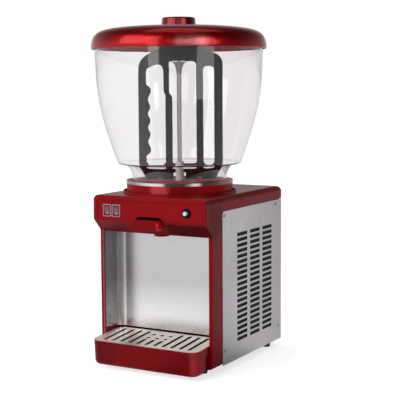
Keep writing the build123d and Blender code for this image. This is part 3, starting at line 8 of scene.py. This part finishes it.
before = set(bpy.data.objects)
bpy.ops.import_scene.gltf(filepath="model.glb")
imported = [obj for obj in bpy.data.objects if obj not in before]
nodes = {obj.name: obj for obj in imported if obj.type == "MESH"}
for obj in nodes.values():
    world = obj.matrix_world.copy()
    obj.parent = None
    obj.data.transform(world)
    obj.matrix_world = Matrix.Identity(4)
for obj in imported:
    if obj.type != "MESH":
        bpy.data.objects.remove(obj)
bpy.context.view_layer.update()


# ---- node trees -------------------------------------------------------------
class Tree:
    """A shader node tree whose nodes are added with their inputs set or linked."""

    def __init__(self, tree):
        self.tree = tree

    def add(self, kind, inputs=(), **settings):
        node = self.tree.nodes.new(kind)
        for key, value in settings.items():
            setattr(node, key, value)
        for key, value in dict(inputs).items():
            self.feed(value, node.inputs[key])
        return node

    def feed(self, value, socket):
        if isinstance(value, bpy.types.NodeSocket):
            self.tree.links.new(value, socket)
        else:
            socket.default_value = value

    def maths(self, operation, first, second=0.0):
        return self.add("ShaderNodeMath", {0: first, 1: second}, operation=operation).outputs[0]

    def blend(self, factor, first, second, how="MIX"):
        node = self.add("ShaderNodeMix", {0: factor, 6: first, 7: second}, data_type="RGBA",
                        blend_type=how)
        return node.outputs[2]

    def either(self, factor, first, second):
        """The first shader where the factor is 0, the second where it is 1."""
        return self.add("ShaderNodeMixShader", {0: factor, 1: first, 2: second}).outputs[0]

    def light_path(self):
        return self.add("ShaderNodeLightPath").outputs


class Finish(Tree):
    """A Principled material whose variation follows the piece's own coordinates."""

    def __init__(self, name, **sockets):
        self.material = bpy.data.materials.new(name)
        self.material.use_nodes = True
        super().__init__(self.material.node_tree)
        self.shader = self.tree.nodes["Principled BSDF"]
        self.output = self.tree.nodes["Material Output"]
        self.place = self.add("ShaderNodeTexCoord").outputs["Object"]
        for socket, value in sockets.items():
            self.use(socket.replace("_", " "), value)

    def use(self, socket, value):
        self.feed(value, self.shader.inputs[socket])

    def stretched(self, x, y, z):
        scaled = self.add("ShaderNodeMapping", {"Vector": self.place, "Scale": (x, y, z)})
        return scaled.outputs["Vector"]

    def noise(self, scale, detail=2.0, rough=0.5, where=None):
        inputs = {"Vector": where or self.place, "Scale": scale, "Detail": detail,
                  "Roughness": rough}
        return self.add("ShaderNodeTexNoise", inputs).outputs["Fac"]

    def span(self, value, low, high, start=0.3, end=0.7):
        """Map a value from start..end to low..high, without going past either."""
        inputs = {"Value": value, "From Min": start, "From Max": end, "To Min": low,
                  "To Max": high}
        return self.add("ShaderNodeMapRange", inputs).outputs["Result"]

    def bump(self, height, strength, distance, edge=0.0):
        """A bump on the surface, whose sharp edges may catch light as if rounded."""
        inputs = {"Height": height, "Strength": strength, "Distance": distance}
        if edge:
            inputs["Normal"] = self.add("ShaderNodeBevel", {"Radius": edge}).outputs["Normal"]
        return self.add("ShaderNodeBump", inputs).outputs["Normal"]

    def patch(self, centre, half, soft):
        """1 inside a box, falling to 0 over a soft border; None leaves an axis free."""
        axes = self.add("ShaderNodeSeparateXYZ", {0: self.place}).outputs
        mask = None
        for axis, middle, reach in zip(axes, centre, half):
            if reach is None:
                continue
            away = self.maths("ABSOLUTE", self.maths("SUBTRACT", axis, middle))
            inside = self.span(away, low=1.0, high=0.0, start=reach, end=reach + soft)
            mask = inside if mask is None else self.maths("MULTIPLY", mask, inside)
        return mask

    def patched(self, base, patches):
        """Lay (colour, strength, centre, half, soft) patches over a base colour."""
        for colour, strength, *place in patches:
            mask = self.maths("MULTIPLY", self.patch(*place), strength)
            base = self.blend(mask, base, linear(*colour))
        return base


# ---- kinds of finish --------------------------------------------------------
FLAKE_GAIN = 1.25                  # how much brighter than the paint its flake is
STREAK_LENGTH = 60                 # of a brushed streak, times its width
POLISHED = 0.5                     # specular level of the cover's upper face
PAINT_ROUGH = 0.3                  # added to the clear bowl's roughness where it is painted
CLEAR_TINTS = [(0.985, 0.98, 0.985, 1.0), (1.0, 1.0, 1.0, 1.0)]
CLEAR_SHADOW = (0.93, 0.93, 0.935, 1.0)


def linear(red, green, blue):
    """An sRGB colour, 0 to 255, as the linear values that the shaders take."""
    def one(c):
        c /= 255
        return c / 12.92 if c <= 0.04045 else ((c + 0.055) / 1.055) ** 2.4
    return (one(red), one(green), one(blue), 1.0)


def enamel(name, light, dark, metallic=0.0, rough=(0.28, 0.36), coat=0.0, gloss=0.2,
           glossy=None, patches=()):
    """Sprayed enamel: a slightly cloudy colour, fine flake and orange peel.

    Inside the box given by glossy, the surface is as polished as POLISHED says.
    """
    f = Finish(name, Metallic=metallic, Coat_Weight=coat, Coat_Roughness=0.1,
               Specular_IOR_Level=gloss)
    cloud = f.span(f.noise(scale=9.0, detail=3.0), 0.0, 1.0)
    flake = f.span(f.noise(scale=1400.0, detail=1.0), 0.0, 0.35, start=0.45, end=0.75)
    base = f.blend(cloud, linear(*dark), linear(*light))
    base = f.blend(flake, base, linear(*[min(255, c * FLAKE_GAIN) for c in light]))
    f.use("Base Color", f.patched(base, patches))
    if glossy:
        f.use("Specular IOR Level", f.span(f.patch(*glossy), gloss, POLISHED, 0.0, 1.0))
    f.use("Roughness", f.span(f.noise(scale=40.0, detail=4.0), *rough))
    peel = f.noise(scale=420.0)
    f.use("Normal", f.bump(peel, strength=0.10, distance=0.0004, edge=0.0009))
    return f.material


def moulded(name, light, dark, rough=(0.3, 0.4), grain=900.0, depth=0.08, coat=0.0, gloss=0.5,
            metallic=0.0, patches=()):
    """Moulded plastic or rubber with a fine grain and slight colour drift."""
    f = Finish(name, Coat_Weight=coat, Specular_IOR_Level=gloss, Metallic=metallic)
    drift = f.span(f.noise(scale=14.0, detail=3.0), 0.0, 1.0)
    base = f.blend(drift, linear(*dark), linear(*light))
    f.use("Base Color", f.patched(base, patches))
    f.use("Roughness", f.span(f.noise(scale=60.0, detail=4.0), *rough))
    f.use("Normal", f.bump(f.noise(grain), strength=depth, distance=0.0003, edge=0.0005))
    return f.material


def brushed(name, light, dark, along="x", rough=(0.26, 0.36), depth=0.05, fine=900.0,
            streaks=0.5, metallic=1.0, patches=()):
    """Brushed sheet: streaks along one axis in colour, roughness and bump."""
    f = Finish(name, Metallic=metallic)
    scale = [fine if axis != along else fine / STREAK_LENGTH for axis in "xyz"]
    streak = f.noise(scale=1.0, detail=3.0, rough=0.6, where=f.stretched(*scale))
    cloud = f.span(f.noise(scale=7.0, detail=3.0), 0.0, 1.0)
    tone = f.blend(cloud, linear(*dark), linear(*light))
    worn = f.blend(f.span(streak, 0.0, streaks), tone, linear(*dark))
    f.use("Base Color", f.patched(worn, patches))
    f.use("Roughness", f.span(streak, *rough))
    f.use("Normal", f.bump(streak, strength=depth, distance=0.0003, edge=0.0004))
    return f.material


def clear_plastic(name, tint, density, paint, paint_top, paint_patches, rough=0.012,
                  patches=()):
    """Clear moulding, tinted in its depth and painted below a height.

    Shadow and diffuse rays pass through it.
    """
    f = Finish(name, IOR=1.49, Specular_IOR_Level=0.05)
    drift = f.span(f.noise(scale=5.0), 0.0, 1.0)
    clear = f.patched(f.blend(drift, *CLEAR_TINTS), patches)
    painted = f.patch((0, 0, 0), (None, None, paint_top), 0.0002)
    # the skirt's paint, with paint_patches laying painted highlights and painted light over it
    skirt = f.patched(linear(*paint), paint_patches)
    f.use("Base Color", f.blend(painted, clear, skirt))
    f.use("Transmission Weight", f.span(painted, 1.0, 0.0, start=0.0, end=1.0))
    fine = f.span(f.noise(scale=30.0, detail=3.0), rough * 0.6, rough * 1.6)
    f.use("Roughness", f.maths("ADD", fine, f.maths("MULTIPLY", painted, PAINT_ROUGH)))
    path = f.light_path()
    passing = f.maths("MAXIMUM", path["Is Shadow Ray"], path["Is Diffuse Ray"])
    through = f.add("ShaderNodeBsdfTransparent", {"Color": CLEAR_SHADOW})
    f.feed(f.either(passing, f.shader.outputs[0], through.outputs[0]),
           f.output.inputs["Surface"])
    depth = f.add("ShaderNodeVolumeAbsorption", {"Color": tint, "Density": density})
    f.feed(depth.outputs[0], f.output.inputs["Volume"])
    return f.material


# ---- painted shade and sheen ------------------------------------------------
# Patches are (colour, strength, centre, half size, soft border), in metres in the frame, and
# None leaves an axis free. Those in SHADING stand for shade and reflections that the
# photograph shows. They are fixed on the pieces, and an emptied row leaves its plain finish.
SHADING = {
    "cabinet_red": [
        # slope under the fascia, painted shade: dark at the right end, greyer at the left end
        ((70, 5, 10), 0.75, (0.092, -0.145, 0.32), (0.047, 0.02, 0.012), 0.012),
        ((108, 26, 32), 0.8, (-0.11, -0.145, 0.318), (0.04, 0.016, 0.008), 0.012),
        # painted shade on top of the right cheek
        ((100, 6, 12), 0.8, (0.145, -0.117, 0.345), (0.002, 0.022, 0.03), 0.02),
        # painted shadow on the wall behind the tray
        ((28, 6, 5), 0.95, (0, -0.066, 0.07), (0.135, 0.006, 0.04), 0.003),
        # painted highlight on the inner edge of the left post
        ((225, 150, 150), 0.8, (-0.1372, -0.1325, 0.2), (0.0008, 0.002, 0.13), 0.0006),
        # beside the fascia: painted shadow in the right seam, painted highlight on the left
        # step
        ((54, 0, 4), 0.9, (0.1362, -0.158, 0.352), (0.0006, 0.004, 0.022), 0.0006),
        ((240, 40, 52), 0.8, (-0.1372, -0.159, 0.355), (0.0006, 0.003, 0.03), 0.0006),
    ],
    "plastic_red": [
        # tray: painted highlight on the right corner, painted shade on the left end and the
        # rear rim
        ((220, 70, 76), 0.7, (0.134, -0.175, 0.04), (0.008, 0.03, 0.03), 0.01),
        ((100, 8, 16), 0.7, (-0.115, -0.19, 0.04), (0.03, 0.02, 0.03), 0.02),
        ((50, 12, 10), 0.85, (0, -0.0755, 0.07), (None, 0.0035, 0.03), 0.002),
        # painted light on the right side of the tap's handle
        ((240, 40, 54), 0.9, (0.034, -0.165, 0.33), (0.0035, 0.02, 0.02), 0.003),
    ],
    "lid_red": [
        # painted reflections on the lid: front, left end, upper left
        ((255, 160, 170), 0.4, (0.12, -0.165, 0.7245), (0.02, 0.03, 0.008), 0.012),
        ((226, 150, 160), 0.5, (-0.16, -0.11, 0.72), (0.02, 0.05, 0.014), 0.02),
        ((206, 96, 108), 0.6, (-0.125, -0.11, 0.74), (0.04, 0.05, 0.008), 0.016),
    ],
    "drum_red": [
        # drum: painted highlight at the front left, painted dark reflection at the front,
        # painted light at the right
        ((255, 96, 104), 0.6, (0.0167, -0.125, 0.4), (0.012, 0.03, None), 0.012),
        ((130, 3, 8), 0.8, (0.054, -0.105, 0.4), (0.012, 0.03, None), 0.012),
        ((220, 12, 18), 0.8, (0.115, -0.03, 0.4), (0.02, 0.05, None), 0.03),
    ],
    "bowl_clear": [
        # painted shade, greying the clear bowl: right side, neck, right side of the neck
        ((248, 247, 248), 1.0, (0.2, 0, 0.6), (0.1, None, None), 0.06),
        ((246, 245, 246), 1.0, (0, 0, 0.438), (None, None, 0.014), 0.006),
        ((232, 227, 228), 1.0, (0.1, -0.02, 0.438), (0.03, 0.05, 0.014), 0.012),
    ],
    "side_steel": [
        # painted reflection: darker towards the back
        ((190, 184, 188), 0.8, (0, 0.22, 0), (None, 0.02, None), 0.2),
    ],
    "splash_steel": [
        # painted reflection: brighter above the tray
        ((240, 239, 240), 1.0, (0, 0, 0.07), (None, None, 0.04), 0.08),
    ],
    "grille_steel": [
        # painted reflections: brighter at the left, darker at the right
        ((255, 240, 232), 1.0, (-0.14, 0, 0), (0.04, None, None), 0.06),
        ((150, 134, 124), 0.8, (0.135, 0, 0), (0.02, None, None), 0.03),
    ],
    "band": [
        # painted reflections, darker than the band: front, right, and greyer at the left
        ((112, 100, 100), 1.0, (0.051, -0.12, 0), (0.018, 0.08, None), 0.008),
        ((120, 108, 108), 1.0, (0.118, -0.05, 0), (0.016, 0.08, None), 0.01),
        ((170, 164, 162), 1.0, (-0.1, -0.1, 0), (0.05, 0.1, None), 0.05),
    ],
}
SKIRT_SHADING = [
    # painted highlight at the front left, painted light on the right
    ((216, 70, 78), 1.0, (0.0167, -0.12, 0.4), (0.012, 0.1, 0.03), 0.015),
    ((200, 17, 24), 1.0, (0.112, -0.03, 0.4), (0.02, 0.06, 0.03), 0.03),
]

# Patches on the switches: painted shade in the recess round each lens, a painted glow in its
# middle, and a painted highlight just below that.
SWITCH_X = (-0.1085, -0.0845)
SWITCH_Z = 0.358
SWITCH_HIGHLIGHT_Z = SWITCH_Z - 0.0062
RECESS_SHADE = [((96, 26, 42), 1.0, (x, 0, SWITCH_Z), (0.0090, None, 0.0120), 0.0006)
            for x in SWITCH_X]
LENS_GLOW_AND_HIGHLIGHT = [((152, 52, 76), 1.0, (x, 0, SWITCH_Z), (0.002, None, 0.005), 0.004)
         for x in SWITCH_X]
LENS_GLOW_AND_HIGHLIGHT += [((236, 190, 204), 0.7, (x, 0, SWITCH_HIGHLIGHT_Z), (0.0012, None, 0.0006), 0.0024)
          for x in SWITCH_X]


# ---- finishes and the nodes that wear them ----------------------------------
COVER_TOP = 0.392                  # upper face of the cabinet's cover
COVER_FACE = ((0, 0, COVER_TOP), (None, None, 0.0004), 0.0006)
SKIRT_TOP = 0.4212                 # height up to which the bowl's skirt is painted

LOOKS = {
    "cabinet_red": (enamel, dict(light=(149, 12, 22), dark=(138, 9, 18), metallic=0.3,
                                 rough=(0.3, 0.38), gloss=0.1, glossy=COVER_FACE)),
    "plastic_red": (enamel, dict(light=(131, 10, 18), dark=(118, 8, 15), metallic=0.3,
                                 rough=(0.26, 0.34), gloss=0.1)),
    "lid_red": (enamel, dict(light=(174, 7, 18), dark=(152, 5, 14), metallic=0.85,
                             rough=(0.26, 0.34), coat=0.4)),
    "knob_red": (enamel, dict(light=(130, 5, 14), dark=(112, 4, 12), metallic=0.85,
                              rough=(0.16, 0.22), coat=0.6)),
    "drum_red": (enamel, dict(light=(200, 10, 16), dark=(176, 8, 14), metallic=0.85,
                              rough=(0.2, 0.28))),
    "bowl_clear": (clear_plastic, dict(tint=(0.90, 0.875, 0.89, 1.0), density=110.0,
                                       paint=(150, 12, 18), paint_top=SKIRT_TOP,
                                       paint_patches=SKIRT_SHADING)),
    "paddle": (moulded, dict(light=(13, 14, 20), dark=(9, 10, 15), rough=(0.34, 0.46),
                             grain=700.0, depth=0.12, gloss=0.12)),
    "black": (moulded, dict(light=(12, 12, 14), dark=(7, 7, 9), rough=(0.4, 0.55),
                            gloss=0.12)),
    "hub_black": (moulded, dict(light=(5, 5, 6), dark=(3, 3, 4), rough=(0.3, 0.4),
                                gloss=0.05)),
    "pale_bush": (moulded, dict(light=(190, 186, 180), dark=(176, 172, 166),
                                rough=(0.35, 0.45))),
    "bezel": (moulded, dict(light=(200, 150, 154), dark=(176, 124, 130), rough=(0.12, 0.22),
                            coat=0.5, patches=RECESS_SHADE)),
    "lens": (moulded, dict(light=(104, 32, 50), dark=(80, 22, 38), rough=(0.12, 0.2),
                           coat=0.6, patches=LENS_GLOW_AND_HIGHLIGHT)),
    "knob_cap": (moulded, dict(light=(255, 255, 255), dark=(246, 246, 248),
                               rough=(0.2, 0.3), coat=0.6)),
    "side_steel": (brushed, dict(light=(226, 222, 227), dark=(208, 204, 209), along="z",
                                 rough=(0.34, 0.44))),
    "splash_steel": (brushed, dict(light=(206, 204, 206), dark=(196, 194, 196), along="z",
                                   rough=(0.24, 0.28), depth=0.012, fine=1400.0,
                                   streaks=0.3)),
    "grille_steel": (brushed, dict(light=(172, 158, 150), dark=(152, 138, 128),
                                   rough=(0.22, 0.34), metallic=0.5)),
    "zinc": (brushed, dict(light=(170, 172, 174), dark=(140, 142, 146), rough=(0.4, 0.55))),
    "stainless": (brushed, dict(light=(160, 156, 156), dark=(120, 117, 116), along="z",
                                rough=(0.18, 0.3))),
    "band": (brushed, dict(light=(232, 230, 230), dark=(218, 216, 216), along="z",
                           rough=(0.1, 0.16), depth=0.01, fine=500.0, streaks=0.3)),
    "screw": (brushed, dict(light=(210, 210, 212), dark=(170, 170, 172), rough=(0.2, 0.3))),
    "white_plastic": (moulded, dict(light=(252, 250, 250), dark=(240, 238, 238),
                                    rough=(0.35, 0.45))),
    "sheath": (brushed, dict(light=(120, 116, 112), dark=(92, 88, 84), rough=(0.4, 0.6))),
    "copper": (brushed, dict(light=(190, 120, 90), dark=(150, 88, 62), rough=(0.3, 0.45))),
    "milky": (moulded, dict(light=(214, 210, 200), dark=(196, 192, 182), rough=(0.4, 0.5))),
    "seal": (moulded, dict(light=(170, 12, 16), dark=(140, 9, 12), rough=(0.5, 0.6),
                           gloss=0.05)),
    "floor_coat": (moulded, dict(light=(186, 14, 18), dark=(140, 10, 14), rough=(0.5, 0.6),
                                 grain=1200.0, depth=0.2, gloss=0.05)),
    "rubber": (moulded, dict(light=(30, 30, 30), dark=(18, 18, 18), rough=(0.6, 0.75),
                             grain=600.0, depth=0.2)),
    "motor_grey": (enamel, dict(light=(74, 76, 80), dark=(56, 58, 62), rough=(0.4, 0.55),
                                coat=0.1)),
    "paper": (moulded, dict(light=(255, 255, 254), dark=(246, 246, 245), rough=(0.5, 0.6),
                            grain=1500.0, depth=0.05, metallic=0.7)),
}

WORN_BY = {
    "cabinet_red": ["front_frame", "top_cover", "control_fascia"],
    "drum_red": ["pedestal"],
    "plastic_red": ["drip_tray", "tap_lever", "spout"],
    "lid_red": ["lid"],
    "knob_red": ["lid_knob"],
    "bowl_clear": ["bowl"],
    "paddle": ["agitator_paddle"],
    "hub_black": ["agitator_hub"],
    "pale_bush": ["riser_bush"],
    "black": ["thermostat", "thermostat_bezel", "fan_frame", "fan_rotor", "power_inlet",
              "vent_filters", "base_pan"],
    "bezel": ["heat_switch_housing", "mixer_switch_housing"],
    "lens": ["heat_switch_rocker", "mixer_switch_rocker"],
    "knob_cap": ["thermostat_knob"],
    "side_steel": ["side_panel_right", "side_panel_left"],
    "splash_steel": ["splash_panel"],
    "grille_steel": ["drip_grille"],
    "zinc": ["rear_panel", "valve_bracket", "motor_bracket"],
    "stainless": ["riser_tube", "drive_shaft", "output_shaft", "lever_pivot_pin",
                  "lever_pin_clip", "lever_return_spring", "riser_nut"],
    "screw": ["cabinet_screws", "inner_screws", "fan_screws", "lid_knob_screw"],
    "band": ["bowl_band"],
    "white_plastic": ["riser_collar", "shaft_coupling", "terminal_block"],
    "sheath": ["heater_ring", "thermal_cutout"],
    "copper": ["thermostat_probe"],
    "milky": ["outlet_tube"],
    "seal": ["bowl_seal"],
    "floor_coat": ["heating_floor"],
    "rubber": ["foot_front_left", "foot_front_right", "foot_rear_left", "foot_rear_right"],
    "motor_grey": ["gearbox", "drive_motor"],
    "paper": ["blank_label"],
}

for finish, (kind, values) in LOOKS.items():
    # A finish named in SHADING takes its patches of painted shade and painted reflection.
    if finish in SHADING:
        values["patches"] = SHADING[finish]
    material = kind(finish, **values)
    for name in WORN_BY[finish]:
        for slot in nodes[name].material_slots:
            slot.material = material


# ---- camera -----------------------------------------------------------------
AZIMUTH, PITCH, ROLL = (math.radians(a) for a in (29.18, 6.07, -0.33))
CAMERA_PLACE = (1.2145, -2.1013, 0.6287)
FOCAL_LENGTH, SENSOR_WIDTH = 94.6, 36.0           # millimetres

camera = bpy.data.objects.new("camera", bpy.data.cameras.new("camera"))
camera.data.lens = FOCAL_LENGTH
camera.data.sensor_width = SENSOR_WIDTH
camera.data.clip_start, camera.data.clip_end = 0.05, 60.0
ahead = Vector((-math.sin(AZIMUTH) * math.cos(PITCH), math.cos(AZIMUTH) * math.cos(PITCH),
                -math.sin(PITCH)))
level = Vector((math.cos(AZIMUTH), math.sin(AZIMUTH), 0.0))
upward = level.cross(ahead)
right = math.cos(ROLL) * level + math.sin(ROLL) * upward
over = -math.sin(ROLL) * level + math.cos(ROLL) * upward
axes = Matrix((right, over, -ahead)).transposed().to_4x4()
camera.matrix_world = Matrix.Translation(CAMERA_PLACE) @ axes
bpy.context.scene.collection.objects.link(camera)
bpy.context.scene.camera = camera


# ---- studio -----------------------------------------------------------------
# How bright the studio looks in gloss. The turn runs from 0 to 1 round the object and comes
# to 0.25 at the front, 0.5 on the right and 0.75 at the back; height runs from 0, level, to 1.
SIDES = [(0.0, 0.7), (0.10, 1.0), (0.20, 1.0), (0.27, 0.35), (0.36, 0.25), (0.45, 0.15),
         (0.56, 0.2), (0.62, 0.38), (0.72, 0.43), (0.815, 0.9), (0.9, 0.6), (1.0, 0.7)]
FLOOR_SIDES = [(0.0, 0.7), (0.10, 1.0), (0.20, 1.0), (0.27, 0.35), (0.36, 0.25),
               (0.45, 0.15), (0.56, 0.3), (0.62, 0.74), (0.72, 0.74), (0.815, 0.9),
               (0.9, 0.6), (1.0, 0.7)]
LEVELS = [(0.0, 0.6), (0.05, 1.0), (0.3, 0.5), (0.6, 0.1), (1.0, 0.06)]
# How bright its soft light on matt surfaces is, by the same turn.
SOFT_SIDES = [(0.0, 0.9), (0.22, 0.9), (0.33, 0.4), (0.42, 0.12), (0.68, 0.12), (0.8, 0.4),
              (1.0, 0.9)]

FLOOR_HALF = 30.0
FLOOR_GREY = (0.86, 0.86, 0.86, 1)
FLOOR_LIFT = 0.72                  # light added for the camera, so that the floor reads white

# name, place, target, width, height, radiance, whether it lights matt surfaces
LAMPS = [
    ("key", (-1.6, -2.6, 2.0), (0, -0.1, 0.4), 2.2, 2.0, 2.2, True),
    ("top", (0.1, 0.0, 3.0), (0, 0, 0.4), 2.0, 2.0, 0.6, True),
    ("middle_strip", (-0.09, -1.8, 1.2), (0, 0, 0.6), 0.5, 1.4, 2.2, False),
    ("right_strip", (0.89, -0.47, 0.78), (0, 0.0, 0.6), 0.4, 0.9, 1.6, False),
    ("front_right", (1.75, -1.5, 1.3), (0, 0, 0.8), 3.0, 0.9, 0.8, False),
]


def softbox(name, place, target, width, height, radiance, lights):
    """A rectangular lamp whose face has the given radiance; some show only in gloss."""
    lamp = bpy.data.lights.new(name, "AREA")
    lamp.shape = "RECTANGLE"
    lamp.size, lamp.size_y = width, height
    lamp.energy = radiance * width * height * math.pi
    thing = bpy.data.objects.new(name, lamp)
    thing.location = place
    aim = Vector(target) - Vector(place)
    thing.rotation_euler = aim.to_track_quat("-Z", "Y").to_euler()
    thing.visible_camera = False
    thing.visible_diffuse = lights
    bpy.context.scene.collection.objects.link(thing)


class Shade(Tree):
    """The node tree of the floor or the world, cleared and with its own output."""

    def __init__(self, tree, output):
        super().__init__(tree)
        tree.nodes.clear()
        self.output = tree.nodes.new(output)

    def turn(self, where):
        gradient = self.add("ShaderNodeTexGradient", {0: where}, gradient_type="RADIAL")
        return gradient.outputs["Fac"]

    def ramp(self, value, stops):
        node = self.add("ShaderNodeValToRGB", {0: value})
        points = node.color_ramp.elements
        while len(points) < len(stops):
            points.new(0.5)
        for point, (place, level) in zip(points, stops):
            point.position = place
            point.color = (level, level, level, 1)
        return node.outputs["Color"]

    def finish(self, shader):
        self.feed(shader, self.output.inputs[0])


def studio_floor():
    """A pale floor that is white to the eye, in metal and in glass, and takes shadows."""
    mesh = bpy.data.meshes.new("studio_floor")
    corners = [(-1, -1), (1, -1), (1, 1), (-1, 1)]
    mesh.from_pydata([(x * FLOOR_HALF, y * FLOOR_HALF, 0) for x, y in corners], [],
                     [(0, 1, 2, 3)])
    floor = bpy.data.objects.new("studio_floor", mesh)
    bpy.context.scene.collection.objects.link(floor)
    material = bpy.data.materials.new("studio_white")
    material.use_nodes = True
    mesh.materials.append(material)
    shade = Shade(material.node_tree, "ShaderNodeOutputMaterial")
    path = shade.light_path()
    around = shade.turn(shade.add("ShaderNodeTexCoord").outputs["Object"])
    cloth = shade.add("ShaderNodeBsdfDiffuse", {"Color": FLOOR_GREY}).outputs[0]
    lift = shade.add("ShaderNodeEmission", {"Strength": FLOOR_LIFT}).outputs[0]
    seen = shade.add("ShaderNodeAddShader", {0: cloth, 1: lift}).outputs[0]
    direct = shade.either(path["Is Camera Ray"], cloth, seen)
    mirror = shade.add("ShaderNodeEmission", {"Color": shade.ramp(around, FLOOR_SIDES)})
    gloss = shade.either(path["Is Glossy Ray"], direct, mirror.outputs[0])
    white = shade.add("ShaderNodeEmission", {"Strength": 1.0}).outputs[0]
    shade.finish(shade.either(path["Is Transmission Ray"], gloss, white))


def studio_world():
    """White round the object; gloss sees a studio with bright and dark sides."""
    world = bpy.data.worlds.new("studio")
    bpy.context.scene.world = world
    world.use_nodes = True
    shade = Shade(world.node_tree, "ShaderNodeOutputWorld")
    path = shade.light_path()
    clear = shade.maths("MAXIMUM", path["Is Camera Ray"], path["Is Transmission Ray"])
    where = shade.add("ShaderNodeTexCoord").outputs["Generated"]
    around = shade.turn(where)
    height = shade.add("ShaderNodeSeparateXYZ", {0: where}).outputs["Z"]
    room = shade.blend(1.0, shade.ramp(around, SIDES), shade.ramp(height, LEVELS), "MULTIPLY")
    soft = shade.add("ShaderNodeBackground", {"Color": shade.ramp(around, SOFT_SIDES)})
    gloss = shade.add("ShaderNodeBackground", {"Color": room})
    white = shade.add("ShaderNodeBackground", {"Strength": 1.0, "Color": (1, 1, 1, 1)})
    inner = shade.either(path["Is Glossy Ray"], soft.outputs[0], gloss.outputs[0])
    shade.finish(shade.either(clear, inner, white.outputs[0]))


studio_floor()
studio_world()
for lamp in LAMPS:
    softbox(*lamp)

bpy.context.scene.view_settings.view_transform = "Standard"
